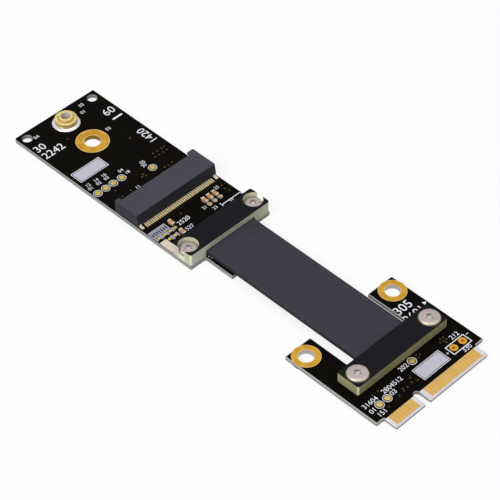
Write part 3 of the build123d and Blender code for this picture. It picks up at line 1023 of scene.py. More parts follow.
@dataclass
class Print:
    """Flat marks on one face of a board, gathered shape by shape."""

    name: str
    face: Face = Face.TOP
    thickness: float = 0.014
    line: float = 0.16
    border_line: float = 0.13
    outer_corner: float = 0.12
    inner_corner: float = 0.06
    dot_corners: int = 20
    digit_share: float = 0.72
    digit_weight: float = 0.004
    digit_steps: int = 3
    shapes: list[Callable[[bmesh.types.BMesh], None]] = field(default_factory=list)
    digits: list[tuple[str, float, float, float, float]] = field(default_factory=list)

    def levels(self) -> tuple[float, float]:
        """Where the marks lie.

        Returns:
            Their lowest and highest level, in millimetres.
        """
        if self.face is Face.TOP:
            return DECK, DECK + self.thickness
        return -self.thickness, 0.0

    def patch(self, outline: Sequence[Point]) -> "Print":
        """Adds a filled shape.

        Args:
            outline: Its corners in order.

        Returns:
            The print itself.
        """
        low, high = self.levels()
        self.shapes.append(lambda bm: add_prism(bm, outline, low, high))
        return self

    def band(self, outer: Sequence[Point], inner: Sequence[Point]) -> "Print":
        """Adds a line that fills the room between two outlines.

        Args:
            outer: Outer corners.
            inner: Inner corners, as many as the outer ones.

        Returns:
            The print itself.
        """
        low, high = self.levels()
        self.shapes.append(lambda bm: add_band(bm, outer, inner, low, high))
        return self

    def rectangle(self, x0: float, x1: float, y0: float, y1: float, radius: float) -> "Print":
        """Adds a filled rectangle."""
        return self.patch(rounded(x0, x1, y0, y1, radius))

    def frame(self, x0: float, x1: float, y0: float, y1: float, width: float | None = None) -> "Print":
        """Adds an outline of a rectangle, its line inside the limits.

        Args:
            x0: Lowest X.
            x1: Highest X.
            y0: Lowest Y.
            y1: Highest Y.
            width: Width of the line, or none for the print's own.

        Returns:
            The print itself.
        """
        w = width or self.line
        inner = rounded(x0 + w, x1 - w, y0 + w, y1 - w, self.inner_corner)
        return self.band(rounded(x0, x1, y0, y1, self.outer_corner), inner)

    def border(self, x0: float, x1: float, y0: float, y1: float) -> "Print":
        """Adds the fine border of a blank label field."""
        return self.frame(x0, x1, y0, y1, self.border_line)

    def rings(self, outer: float, inner: float, *centres: Point) -> "Print":
        """Adds rings round pads.

        Args:
            outer: Outer diameter.
            inner: Inner diameter.
            centres: Middles of the pads.

        Returns:
            The print itself.
        """
        for x, y in centres:
            self.band(circle(x, y, outer / 2), circle(x, y, inner / 2))
        return self

    def dot(self, x: float, y: float, diameter: float) -> "Print":
        """Adds a filled dot."""
        return self.patch(circle(x, y, diameter / 2, self.dot_corners))

    def stroke(self, x0: float, y0: float, x1: float, y1: float, width: float | None = None) -> "Print":
        """Adds a straight line with square ends.

        Args:
            x0: Start along X.
            y0: Start along Y.
            x1: End along X.
            y1: End along Y.
            width: Width of the line, or none for the print's own.

        Returns:
            The print itself.
        """
        half = (width or self.line) / 2
        length = math.hypot(x1 - x0, y1 - y0)
        nx, ny = -(y1 - y0) / length * half, (x1 - x0) / length * half
        return self.patch([(x0 - nx, y0 - ny), (x1 - nx, y1 - ny), (x1 + nx, y1 + ny), (x0 + nx, y0 + ny)])

    def number(self, text: str, x: float, y: float, height: float, turn: float = 90.0) -> "Print":
        """Adds a plain number.

        Args:
            text: The digits.
            x: Where the first digit's foot stands.
            y: The same, along Y.
            height: Height of the digits.
            turn: Direction of the line of digits, in degrees from +X.

        Returns:
            The print itself.
        """
        self.digits.append((text, x, y, height, turn))
        return self

    def numbers(self, height: float, *marks: tuple[str, float, float], turn: float = 90.0) -> "Print":
        """Adds several plain numbers of one height.

        Args:
            height: Height of the digits.
            marks: Digits of each number, and where its first digit's foot stands along X and Y.
            turn: Direction of the lines of digits, in degrees from +X.

        Returns:
            The print itself.
        """
        for text, x, y in marks:
            self.number(text, x, y, height, turn)
        return self

    def digit_mesh(self, text: str, x: float, y: float, height: float, turn: float) -> bpy.types.Mesh:
        """Turns one number into a thin solid mesh in its place.

        Args:
            text: The digits.
            x: Where the first digit's foot stands.
            y: The same, along Y.
            height: Height of the digits.
            turn: Direction of the line of digits, in degrees from +X.

        Returns:
            The mesh, in metres.
        """
        low, high = self.levels()
        curve = bpy.data.curves.new("digits", "FONT")
        curve.body = text
        curve.size = height / self.digit_share * MM
        curve.extrude = (high - low) / 2 * MM
        curve.offset = self.digit_weight * (height - 1) * MM
        curve.resolution_u = self.digit_steps
        carrier = bpy.data.objects.new("digits", curve)
        bpy.context.scene.collection.objects.link(carrier)
        evaluated = carrier.evaluated_get(bpy.context.evaluated_depsgraph_get())
        mesh = bpy.data.meshes.new_from_object(evaluated)
        bpy.data.objects.remove(carrier)
        flip = Matrix.Rotation(math.pi, 4, "X") if self.face is Face.UNDERSIDE else Matrix.Identity(4)
        shift = Matrix.Translation(Vector((x * MM, y * MM, (low + high) / 2 * MM)))
        mesh.transform(shift @ Matrix.Rotation(math.radians(turn), 4, "Z") @ flip)
        return mesh

    def piece(self, material: bpy.types.Material, slot: str) -> bpy.types.Object:
        """Makes all the marks one piece.

        Args:
            material: Their finish.
            slot: Not used.

        Returns:
            The piece.
        """

        def build(bm: bmesh.types.BMesh) -> None:
            """Adds every shape of the print.

            Args:
                bm: Where it goes.
            """
            for shape in self.shapes:
                shape(bm)

        mesh = mesh_of(build, self.name)
        weld(mesh, (self.digit_mesh(*digits) for digits in self.digits))
        return finished(self.name, mesh, material)


@dataclass
class Screws:
    """The two round-headed screws of a clamp, with a cross recess that narrows towards its floor."""

    head_radius: float
    seat: float
    head_height: float = 0.8
    side_height: float = 0.36
    dome_width: float = 0.7
    recess_half: float = 0.85
    recess_arm: float = 0.4
    recess_depth: float = 0.3
    recess_taper: float = 0.62
    recess_room: float = 0.2
    shank_radius: float = 1.0
    tip_edge: float = 0.1
    seat_edge: float = 0.06
    corners: int = 56

    def head_profile(self) -> list[Point]:
        """The outside of one screw, from the tip to the crown's middle.

        Returns:
            Radius and height of each corner.
        """
        r, top = self.head_radius, self.seat + self.head_height
        rise = self.head_height - self.side_height
        dome = [
            (
                r - self.dome_width * (1 - math.cos(math.radians(a))),
                top - rise + rise * math.sin(math.radians(a)),
            )
            for a in range(0, 91, 10)
        ]
        return [
            (0.0, 0.0),
            (self.shank_radius - self.tip_edge, 0.0),
            (self.shank_radius, self.tip_edge),
            (self.shank_radius, self.seat),
            (r - self.seat_edge, self.seat),
            (r, self.seat + self.seat_edge),
            *dome,
            (0.0, top),
        ]

    def solid(self) -> bpy.types.Mesh:
        """One screw round its own axis, its tip flush with the board's underside.

        Returns:
            Its mesh, in metres.
        """
        body = mesh_of(lambda bm: add_turned(bm, self.head_profile(), 0, 0, self.corners), "screw")
        top = self.seat + self.head_height

        def arm(bm: bmesh.types.BMesh, along: float, across: float) -> None:
            """Adds one bar of the cutting cross, narrower at its foot.

            Args:
                bm: Where it goes.
                along: Half its length along X.
                across: Half its width along Y.
            """
            rings = []
            for share, level in ((self.recess_taper, top - self.recess_depth), (1.0, top + self.recess_room)):
                x, y = along * share, across * share
                rings.append([bm.verts.new((*c, level)) for c in ((-x, -y), (x, -y), (x, y), (-x, y))])
            bm.faces.new(rings[0][::-1])
            bm.faces.new(rings[1])
            add_wall(bm, *rings)

        for sizes in ((self.recess_half, self.recess_arm), (self.recess_arm, self.recess_half)):
            tool = mesh_of(lambda bm: arm(bm, *sizes), "recess")
            body = self.cut(body, tool)
        smooth(body)
        return body

    @staticmethod
    def cut(body: bpy.types.Mesh, tool: bpy.types.Mesh) -> bpy.types.Mesh:
        """Cuts one mesh from another.

        Args:
            body: The mesh that is cut.
            tool: The mesh that is taken out of it.

        Returns:
            What is left, as a plain mesh.
        """
        target = bpy.data.objects.new("cut_target", body)
        cutter = bpy.data.objects.new("cut_tool", tool)
        for made in (target, cutter):
            bpy.context.scene.collection.objects.link(made)
        modifier = target.modifiers.new("cut", "BOOLEAN")
        modifier.operation = "DIFFERENCE"
        modifier.solver = "EXACT"
        modifier.object = cutter
        evaluated = target.evaluated_get(bpy.context.evaluated_depsgraph_get())
        mesh = bpy.data.meshes.new_from_object(evaluated)
        bpy.data.objects.remove(target)
        bpy.data.objects.remove(cutter)
        return mesh

    def pieces(self, node: str, axis: Point, material: bpy.types.Material) -> None:
        """Makes the screws of one clamp and lets them stand for their node.

        Args:
            node: The CAD node.
            axis: Axis of one screw, in millimetres. The other is its mirror image.
            material: Their finish.
        """
        x, y = axis
        mesh = stamp(node + "_turned", spots(((x, -y), (x, y))), self.solid(), material)
        piece = finished(node + "_turned", mesh, material)
        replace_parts(piece, node)


@dataclass
class Ribbon:
    """The flat shielded ribbon: one rounded section carried along a straight line."""

    start_x: float = -4.225
    end_x: float = 41.775
    width: float = 13.3
    thickness: float = 1.45
    edge_radius: float = 0.6
    wall: int = 12
    stations: int = 47
    crease: float = 40.0

    def piece(self, material: bpy.types.Material) -> bpy.types.Object:
        """Sweeps the section with Geometry Nodes and lets it stand for the CAD ribbon.

        Args:
            material: Its finish.

        Returns:
            The piece.
        """
        recipe = Recipe("ribbon_recipe")
        width = recipe.size("Width", self.width * MM)
        height = recipe.size("Thickness", self.thickness * MM)
        radius = recipe.size("Edge radius", self.edge_radius * MM)
        count = recipe.size("Edge steps", self.wall)
        outline = {"Width": width, "Height": height}
        frame = recipe.node("GeometryNodeCurvePrimitiveQuadrilateral", inputs=outline)
        section = recipe.node(
            "GeometryNodeFilletCurve",
            {"mode": "POLY"},
            {"Curve": frame.outputs[0], "Radius": radius, "Count": count},
        )
        z = self.middle()
        ends = {"Start": (self.start_x * MM, 0, z), "End": (self.end_x * MM, 0, z)}
        line = recipe.node("GeometryNodeCurvePrimitiveLine", inputs=ends)
        stations = {"Curve": line.outputs[0], "Count": self.stations}
        steps = recipe.node("GeometryNodeResampleCurve", inputs=stations)
        sweep = recipe.node(
            "GeometryNodeCurveToMesh",
            inputs={"Curve": steps.outputs[0], "Profile Curve": section.outputs[0], "Fill Caps": True},
        )
        recipe.finish(sweep.outputs[0], material)
        mesh = recipe.run("ribbon_jacket")
        self.square_up(mesh)
        weld(mesh)
        smooth(mesh, self.crease)
        piece = finished("ribbon_jacket", mesh, material)
        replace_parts(piece, "ribbon_cable")
        return piece

    def middle(self) -> float:
        """Height of the ribbon's middle, in metres."""
        return (DECK + self.thickness / 2) * MM

    def square_up(self, mesh: bpy.types.Mesh) -> None:
        """Turns the sweep about its own line if the section came out on edge.

        Args:
            mesh: The sweep, which is changed.
        """
        span = max(v.co.y for v in mesh.vertices) - min(v.co.y for v in mesh.vertices)
        if span < self.width * MM * 0.5:
            shift = Matrix.Translation(Vector((0, 0, self.middle())))
            mesh.transform(shift @ Matrix.Rotation(math.pi / 2, 4, "X") @ shift.inverted())


@dataclass
class Standoff:
    """Turned brass nut with a flat shoulder, a spigot and softly broken edges."""

    bore: float = 1.05
    foot: float = 1.8
    body: float = 2.4
    spigot: float = 1.55
    waist: float = 0.3
    shoulder: float = 1.35
    spigot_height: float = 0.6
    groove: float = 0.22
    groove_outer: float = 0.26
    groove_inner: float = 0.2
    edge: float = 0.12
    body_edge: float = 0.03
    crease: float = 45.0
    corners: int = 72

    def profile(self) -> list[Point]:
        """The standoff's section.

        Returns:
            Radius and height of each corner, once round.
        """
        e, base, top = self.edge, DECK, DECK + self.shoulder
        crown = top + self.spigot_height

        def corner(r: float, z: float, from_angle: int) -> list[Point]:
            """A rounded corner.

            Args:
                r: Radius at which its centre lies.
                z: Height at which its centre lies.
                from_angle: Where its quarter turn starts, in degrees.

            Returns:
                Its corners in order.
            """
            return [
                (r + e * math.cos(math.radians(a)), z + e * math.sin(math.radians(a)))
                for a in range(from_angle, from_angle + 91, 30)
            ]

        return [
            (self.bore, base),
            (self.foot, base),
            (self.foot, base + self.waist),
            (self.body - self.body_edge, base + self.waist),
            (self.body, base + self.waist + self.body_edge),
            *corner(self.body - e, top - e, 0),
            (self.spigot + self.groove_outer, top),
            (self.spigot + self.groove_inner, top - self.groove),
            (self.spigot, top - self.groove),
            *corner(self.spigot - e, crown - e, 0),
            *corner(self.bore + e, crown - e, 90),
        ]

    def piece(self, material: bpy.types.Material) -> bpy.types.Object:
        """Makes the standoff and lets it stand for its node.

        Args:
            material: Its finish.

        Returns:
            The piece.
        """
        x, y = STANDOFF
        mesh = mesh_of(lambda bm: add_turned(bm, self.profile(), x, y, self.corners), "standoff_turned")
        smooth(mesh, self.crease)
        piece = finished("standoff_turned", mesh, material)
        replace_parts(piece, "standoff")
        return piece


@dataclass
class Vias:
    """Small plated holes, tented with mask: low dimpled domes in loose groups on both faces."""

    radius: float = 0.2
    hole: float = 0.09
    height: float = 0.018
    slope: float = 0.03
    dimple: Point = (0.8, 0.4)
    corners: int = 14
    socket_board: tuple[Point, ...] = (
        (-31.03, 6.32), (-30.97, 7.46), (-30.92, 8.59), (-31.0, 9.4), (-29.9, 5.9), (-29.85, 6.95),
        (-29.85, 8.1), (-29.9, 9.2), (-27.84, 0.52), (-27.1, 0.75), (-27.4, -0.1), (-26.26, 5.16),
        (-26.1, 6.1), (-26.3, 7.27), (-26.0, -6.91), (-28.27, -6.76), (-26.16, -4.46), (-14.06, 9.66),
        (-12.88, 9.45), (-11.91, 9.7), (-13.98, -1.98), (-47.1, 8.4), (-37.9, 6.2), (-46.9, -3.3),
    )
    edge_card: tuple[Point, ...] = (
        (45.93, 9.02), (46.0, 9.79), (46.75, 9.95), (46.49, 8.38), (46.75, 9.15), (47.3, 9.3), (45.36, 2.75),
        (45.75, 3.45), (46.12, 2.65), (46.3, -8.96), (46.34, -10.38), (49.82, -5.46), (49.58, -4.27),
        (49.3, -5.25), (49.92, -6.9), (48.38, -2.24), (49.79, -1.72), (49.4, -2.9), (50.41, -10.3),
    )

    def shape(self) -> bpy.types.Mesh:
        """One via round its own origin, its foot at height 0.

        Returns:
            Its mesh, in metres.
        """
        profile = [
            (self.hole, 0.0),
            (self.radius, 0.0),
            (self.radius - self.slope, self.height),
            (self.hole, self.height),
            (self.hole * self.dimple[0], self.height * self.dimple[1]),
        ]
        return mesh_of(lambda bm: add_turned(bm, profile, 0, 0, self.corners), "via")

    def piece(self, material: bpy.types.Material) -> bpy.types.Object:
        """Stamps the vias on both faces of both boards and keeps them as one piece.

        Args:
            material: Its finish.

        Returns:
            The piece.
        """
        places = self.socket_board + self.edge_card
        domes = stamp("via_domes", spots(places, DECK), self.shape(), material)
        under = self.shape()
        under.transform(Matrix.Rotation(math.pi, 4, "X"))
        mesh = joined("vias", (domes, stamp("via_dimples", spots(places), under, material)))
        smooth(mesh)
        return finished("vias", mesh, material)


@dataclass
class Barrels:
    """Plated linings of the header's two holes, which leave a narrow way through."""

    x: float = 49.245
    y: float = 10.48
    reach: float = 1.27
    outer: float = 0.5
    inner: float = 0.24
    top: float = 1.02

    def piece(self, material: bpy.types.Material) -> bpy.types.Object:
        """Lines both holes from face to face.

        Args:
            material: Its finish.

        Returns:
            The piece.
        """

        def build(bm: bmesh.types.BMesh) -> None:
            """Adds one ring for each hole.

            Args:
                bm: Where it goes.
            """
            for side in (-1, 1):
                y = self.y + side * self.reach
                add_band(bm, circle(self.x, y, self.outer), circle(self.x, y, self.inner), 0.0, self.top)

        return finished("header_barrels", mesh_of(build, "header_barrels"), material)


@dataclass
class TailLands:
    """Solder lands under the socket's tails, and the copper runs that lead away under the mask."""

    count: int = 38
    pitch: float = 0.5
    land_start: float = -16.95
    land_size: Spot = (1.12, 0.27, 0.03)
    run_start: float = -15.84
    run_size: Spot = (0.95, 0.13, 0.012)

    def bars(self, name: str, start: float, size: Spot, material: bpy.types.Material) -> bpy.types.Mesh:
        """Lays one flat bar for each tail with Geometry Nodes.

        Args:
            name: The mesh's name.
            start: Where the bars begin along X, in millimetres.
            size: Length, width and thickness of a bar, in millimetres.
            material: The finish of the bars.

        Returns:
            One plain mesh of all bars.
        """
        length, _, height = size
        recipe = Recipe(name + "_recipe")
        count = recipe.size("Count", self.count)
        labels = ("Length", "Width", "Height")
        sides = [recipe.size(label, side * MM) for label, side in zip(labels, size)]
        first = -(self.count - 1) / 2 * self.pitch
        places = recipe.node(
            "GeometryNodeMeshLine",
            {"mode": "OFFSET"},
            {
                "Count": count,
                "Start Location": ((start + length / 2) * MM, first * MM, (DECK + height / 2) * MM),
                "Offset": (0, self.pitch * MM, 0),
            },
        )
        box = recipe.node("ShaderNodeCombineXYZ", inputs=dict(enumerate(sides)))
        bar = recipe.node("GeometryNodeMeshCube", inputs={"Size": box.outputs[0]})
        copies = {"Points": places.outputs[0], "Instance": bar.outputs["Mesh"]}
        row = recipe.node("GeometryNodeInstanceOnPoints", inputs=copies)
        recipe.finish(row.outputs[0], material)
        return recipe.run(name)

    def pieces(self, land: bpy.types.Material, run: bpy.types.Material) -> None:
        """Makes the lands and the runs.

        Args:
            land: The finish of the lands.
            run: The finish of mask over copper.
        """
        lands = self.bars("tail_lands", self.land_start, self.land_size, land)
        finished("tail_lands", lands, land)
        runs = self.bars("tail_runs", self.run_start, self.run_size, run)
        finished("tail_runs", runs, run)


@dataclass
class Chips:
    """Chip capacitors: a ceramic block between two wrapped metal caps."""

    places: tuple[Point, ...] = (
        (-13.025, 3.8), (-13.025, 5.25), (-13.025, 6.7), (-13.125, -5.45), (-9.675, -5.6),
    )
    length: float = 1.6
    width: float = 0.85
    height: float = 0.75
    cap: float = 0.35
    ease: float = 0.06
    ease_steps: int = 3
    crease: float = 50.0
    body_end: float = 0.1
    body_side: float = 0.025
    body_top: float = 0.03

    def block(self, x0: float, x1: float, inset: float, high: float) -> bpy.types.Mesh:
        """One softly edged block of the chip, round the chip's own origin.

        Args:
            x0: Where it starts along X.
            x1: Where it ends along X.
            inset: How far its sides stay inside the chip's.
            high: Its height.

        Returns:
            Its mesh, in metres.
        """

        def build(bm: bmesh.types.BMesh) -> None:
            """Adds the block and rounds it.

            Args:
                bm: Where it goes.
            """
            half = self.width / 2 - inset
            add_prism(bm, [(x0, -half), (x1, -half), (x1, half), (x0, half)], 0.0, high)
            steps, edges = self.ease_steps, bm.edges[:]
            bmesh.ops.bevel(bm, geom=edges, offset=self.ease, segments=steps, profile=0.5, affect="EDGES")

        mesh = mesh_of(build, "chip")
        smooth(mesh, self.crease)
        return mesh

    def pieces(self, ceramic: bpy.types.Material, metal: bpy.types.Material) -> None:
        """Makes bodies and caps and lets them stand for their nodes.

        Args:
            ceramic: The finish of the bodies.
            metal: The finish of the caps.
        """
        points = spots(self.places, DECK)
        reach = self.length / 2
        end = reach - self.body_end
        middle = self.block(-end, end, self.body_side, self.height - self.body_top)
        body = stamp("chip_bodies", points, middle, ceramic)
        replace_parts(finished("chip_bodies", body, ceramic), "capacitor_bodies")
        ends = []
        for x0, x1 in ((-reach, -reach + self.cap), (reach - self.cap, reach)):
            ends.append(stamp("chip_caps", points, self.block(x0, x1, 0.0, self.height), metal))
        mesh = joined("chip_caps", ends)
        smooth(mesh, self.crease)
        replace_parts(finished("chip_caps", mesh, metal), "capacitor_ends")


# The whole part


FINISHES = (
    BoardFinish(),
    BoardFinish("card_mask", bare_from_x=51.975 * MM),
    # Both clamps paint highlights on their rounded corners and on their counterbore walls.
    PressPlateFinish(
        "socket_clamp_laminate", SOCKET_CLAMP_TOP * MM, SOCKET_SCREW[0] * MM, 2.725 * MM, 11.0 * MM,
        side=tone(208, 210, 190), layer=tone(168, 171, 150),
        bore=metres(SOCKET_SCREW), bore_radius=2.1 * MM,
    ),
    PressPlateFinish(
        "edge_clamp_laminate", EDGE_CLAMP_TOP * MM, 41.925 * MM, 2.75 * MM, 12.5 * MM,
        side=tone(174, 170, 128), layer=tone(126, 122, 84), layer_count=8.0,
        bore=metres(EDGE_SCREW), bore_radius=2.325 * MM,
    ),
    # The near ring's hole wall is painted dark gold, a painted shade.
    RingFinish(
        "near_ring_gold", metres(NEAR_RING), 1.75 * MM, 3.6 * MM, rim_share=0.7, wall=tone(132, 104, 44)
    ),
    RingFinish("card_ring_gold", metres(CARD_RING), 1.6 * MM, 2.9 * MM),
    MetalFinish("plated_gold", tone(206, 152, 54), tone(184, 132, 42), 0.34),
    MetalFinish("finger_gold", tone(216, 170, 84), tone(198, 150, 66), 0.3),
    MetalFinish("pad_gold", tone(206, 180, 108), tone(176, 148, 78), 0.38),
    MetalFinish("land_gold", tone(240, 220, 166), tone(222, 198, 138), 0.34, metal=0.2),
    MetalFinish("contact_gold", tone(252, 236, 190), tone(236, 212, 152), 0.32, metal=0.2),
    # The standoff's bore is painted pale, a painted highlight.
    MetalFinish(
        "turned_brass", tone(224, 204, 134), tone(208, 182, 106), 0.42, turned_about=metres(STANDOFF),
        bore_radius=1.05 * MM, metal=0.45,
    ),
    MetalFinish("solder_tin", tone(208, 205, 208), tone(180, 178, 184), 0.36),
    MetalFinish("solder_collar", tone(222, 216, 216), tone(192, 184, 182), 0.3, metal=0.8),
    MetalFinish("tab_tin", tone(246, 236, 214), tone(226, 212, 186), 0.3, metal=0.2),
    # Both screw finishes paint a highlight near the head's edge and shade on its sides and in its recess.
    ScrewFinish("socket_screw_nickel", metres(SOCKET_SCREW), 3.15 * MM, 1.95 * MM),
    ScrewFinish("edge_screw_nickel", metres(EDGE_SCREW), 3.85 * MM, 2.175 * MM),
    # Painted shade on the ribbon's upright sides.
    MouldedFinish(
        "ribbon_jacket", tone(62, 60, 69), tone(55, 54, 62), 0.62, 0.08, 2600.0, 0.01 * MM, 0.15,
        upright=tone(40, 39, 45),
    ),
    # Painted shade on the housing's upright faces.
    MouldedFinish("housing_plastic", tone(73, 72, 81), tone(66, 65, 74), 0.55, 0.1, upright=tone(44, 44, 51)),
    MouldedFinish("ceramic_tan", tone(202, 154, 98), tone(178, 128, 76), 0.5, 0.2),
    InkFinish(),
    InkFinish("field_ink", tone(198, 196, 211), tone(182, 180, 195)),
    InkFinish("pale_ink", tone(168, 166, 184), tone(146, 145, 158)),
    InkFinish("warm_ink", tone(232, 214, 198), tone(204, 180, 150)),
    MouldedFinish("masked_trace", tone(33, 27, 17), tone(26, 21, 14), 0.4, 0.06),
    MetalFinish("via_gold", tone(92, 80, 44), tone(66, 56, 30), 0.5),
)

NODE_FINISHES = {
    "socket_board": "solder_mask",
    "edge_card": "card_mask",
    "ribbon_cable": "ribbon_jacket",
    "socket_clamp": "socket_clamp_laminate",
    "edge_clamp": "edge_clamp_laminate",
    "socket_clamp_screws": "socket_screw_nickel",
    "edge_clamp_screws": "edge_screw_nickel",
    "socket_end_cores": "solder_tin",
    "card_end_cores": "solder_tin",
    "standoff": "turned_brass",
    "standoff_solder_ring": "solder_collar",
    "near_mount_ring": "near_ring_gold",
    "socket_housing": "housing_plastic",
    "socket_upper_contacts": "contact_gold",
    "socket_lower_contacts": "contact_gold",
    "socket_hold_downs": "tab_tin",
    "card_mount_rings": "card_ring_gold",
    "edge_fingers_top": "finger_gold",
    "edge_fingers_bottom": "finger_gold",
    "header_lands": "plated_gold",
    "socket_test_pads": "pad_gold",
    "card_test_pads": "pad_gold",
    "solder_pads": "pad_gold",
    "capacitor_bodies": "ceramic_tan",
    "capacitor_ends": "solder_tin",
}


@dataclass
class Cable:
    """All finishes and sub-assemblies of the extension cable."""

    field_corner: float = 0.08
    pad_ring: Point = (1.9, 1.64)
    chip_ring: Point = (1.04, 0.92)
    bar_thickness: float = 0.012
    bar_count: int = 8
    bar_pitch: float = 0.59
    bar_width: float = 0.3

    def __post_init__(self) -> None:
        """Makes the materials once."""
        self.looks = {finish.name: finish.material() for finish in FINISHES}

    def dress_nodes(self, nodes: dict[str, bpy.types.Object]) -> None:
        """Gives every CAD node its finish.

        Args:
            nodes: The frame's nodes by name.
        """
        for name, node in nodes.items():
            for place in node.material_slots:
                place.material = self.looks[NODE_FINISHES[name]]
        LOG.info("dressed %d nodes", len(nodes))

    def mark(self, marks: Print, look: str = "white_ink") -> None:
        """Puts a finished print into the scene."""
        marks.piece(self.looks[look], "soldermask_black")

    def print_socket_board(self) -> None:
        """Prints the marks of the socket board."""
        ink = Print("socket_board_print")
        ink.border(-38.275, -34.925, -10.15, -2.46)
        ink.rings(
            *self.pad_ring,
            (-30.175, -9.84), (-30.175, -7.71), (-30.175, -5.6), (-30.175, -3.3), (-27.925, 3.3),
        )
        ink.numbers(
            0.86, ("01", -31.9, -10.5), ("12", -33.0, -10.3), ("02", -31.9, -8.3), ("14", -33.0, -8.1),
            ("03", -31.9, -6.2), ("16", -33.0, -6.0), ("04", -31.5, -2.6), ("18", -30.2, -1.9),
            ("05", -30.2, 2.3), ("20", -29.3, 1.9), ("11", -25.4, -3.4),
        )
        ink.number("30", -48.0, -10.6, 2.0).number("2242", -45.3, -10.6, 2.0)
        ink.number("1420", -33.3, 10.15, 1.9, 180.0).number("60", -46.4, 7.3, 2.1)
        ink.stroke(-44.75, 7.6, -44.75, 10.2, 0.45)
        ink.numbers(0.9, ("01", -50.6, 4.1), ("03", -52.5, 5.3), ("04", -51.6, -8.1), ("02", -42.9, 4.3))
        ink.stroke(-9.875, 5.53, -9.875, 10.94, 0.2).stroke(-10.4, 5.6, -9.4, 5.6, 0.2)
        ink.stroke(-9.875, 10.84, -9.3, 10.84, 0.2)
        ink.dot(-1.165, -6.51, 0.3).dot(-0.475, -6.45, 0.3)
        ink.rings(*self.chip_ring, (-11.825, 4.05), (-11.825, 5.55), (-11.825, 7.1))
        ink.numbers(0.84, ("21", -11.4, 2.0), ("23", -9.9, 3.5), ("25", -13.9, 7.8), ("27", -8.9, 7.4))
        ink.number("2520", -11.6, -4.6, 1.15).number("527", -9.4, -4.5, 1.0)
        self.mark(ink)
        label = Print("socket_board_field").rectangle(-37.99, -35.21, -9.87, -2.74, self.field_corner)
        self.mark(label, "field_ink")

    def print_pad_block(self) -> None:
        """Prints the pale blocks beside the clamp, with the dark gaps left between their bars."""
        pale = Print("pad_block_print", thickness=self.bar_thickness)
        pale.rectangle(-14.35, -13.75, -10.85, -6.4, 0.05)
        for i in range(self.bar_count):
            y = -10.85 + i * self.bar_pitch
            pale.rectangle(-13.75, -12.7, y, y + self.bar_width, 0.04)
        pale.rectangle(-12.7, -12.35, -10.85, -6.4, 0.05)
        for y0, y1 in ((-10.85, -10.5), (-9.7, -8.9), (-8.1, -7.45), (-6.65, -6.0)):
            pale.rectangle(-12.3, -11.3, y0, y1, 0.05)
        for y0, y1 in ((-8.2, -7.5), (-6.7, -6.25)):
            pale.rectangle(-10.75, -9.6, y0, y1, 0.05)
        self.mark(pale, "pale_ink")
        warm = Print("pad_block_warm", thickness=self.bar_thickness)
        self.mark(warm.rectangle(-10.75, -7.15, -10.9, -9.15, 0.06), "warm_ink")

    def print_edge_card(self) -> None:
        """Prints the marks of the edge card."""
        ink = Print("edge_card_print")
        ink.border(47.475, 50.815, -0.8, 6.63)
        ink.frame(48.075, 50.575, 7.9, 13.1, 0.2)
        ink.stroke(49.35, 7.05, 49.35, 7.55).stroke(49.1, 7.3, 49.6, 7.3)
        ink.stroke(48.6, 13.45, 48.6, 14.05)
        ink.rings(*self.pad_ring, (45.875, 1.1), (48.825, -9.0), (48.875, -11.2))
        ink.numbers(
            1.1, ("202", 46.3, -2.4), ("03", 49.1, -7.9), ("01", 49.5, -13.9), ("31604", 47.8, -14.0),
            ("2804512", 47.75, -8.7), ("151", 51.05, -13.4), ("330", 51.55, 9.8), ("212", 47.7, 10.5),
        )
        ink.number("305", 36.3, 8.0, 2.1).number("2601", 38.9, 7.9, 1.9)
        ink.patch([(37.0, 13.75), (37.95, 13.75), (37.475, 14.6)])
        self.mark(ink)
        label = Print("edge_card_field").rectangle(47.755, 50.535, -0.52, 6.35, self.field_corner)
        self.mark(label, "field_ink")

    def print_undersides(self) -> None:
        """Prints the undersides of both boards, which show a few plain numbers and blank fields."""
        ink = Print("underside_print", Face.UNDERSIDE)
        ink.frame(-38.2, -31.0, -8.4, -4.6).frame(41.4, 47.6, -8.6, -5.2)
        ink.number("22", -48.0, 9.6, 1.9, -90.0).number("30", 45.4, 12.4, 1.9, -90.0)
        for x in (-47.2, -27.4, -20.8):
            ink.stroke(x, -10.2, x, 10.2, 0.14)
        ink.numbers(
            1.0, ("1", -52.4, 6.4), ("2", -44.0, 6.0), ("75", -24.4, 9.0), ("1", 50.6, -12.4),
            ("51", 50.6, 11.6), turn=-90.0,
        )
        self.mark(ink)
        labels = Print("underside_fields", Face.UNDERSIDE)
        labels.rectangle(-37.9, -31.3, -8.1, -4.9, self.field_corner)
        labels.rectangle(41.7, 47.3, -8.3, -5.5, self.field_corner)
        self.mark(labels, "field_ink")

    def build(self, nodes: dict[str, bpy.types.Object]) -> None:
        """Dresses the nodes and adds every piece.

        Args:
            nodes: The frame's nodes by name.
        """
        self.dress_nodes(nodes)
        looks = self.looks
        Screws(1.95, 2.35).pieces("socket_clamp_screws", SOCKET_SCREW, looks["socket_screw_nickel"])
        Screws(2.175, 3.05).pieces("edge_clamp_screws", EDGE_SCREW, looks["edge_screw_nickel"])
        Ribbon().piece(looks["ribbon_jacket"])
        Standoff().piece(looks["turned_brass"])
        Chips().pieces(looks["ceramic_tan"], looks["solder_tin"])
        Vias().piece(looks["via_gold"])
        Barrels().piece(looks["plated_gold"])
        TailLands().pieces(looks["land_gold"], looks["masked_trace"])
        self.print_socket_board()
        self.print_pad_block()
        self.print_edge_card()
        self.print_undersides()


# Stage


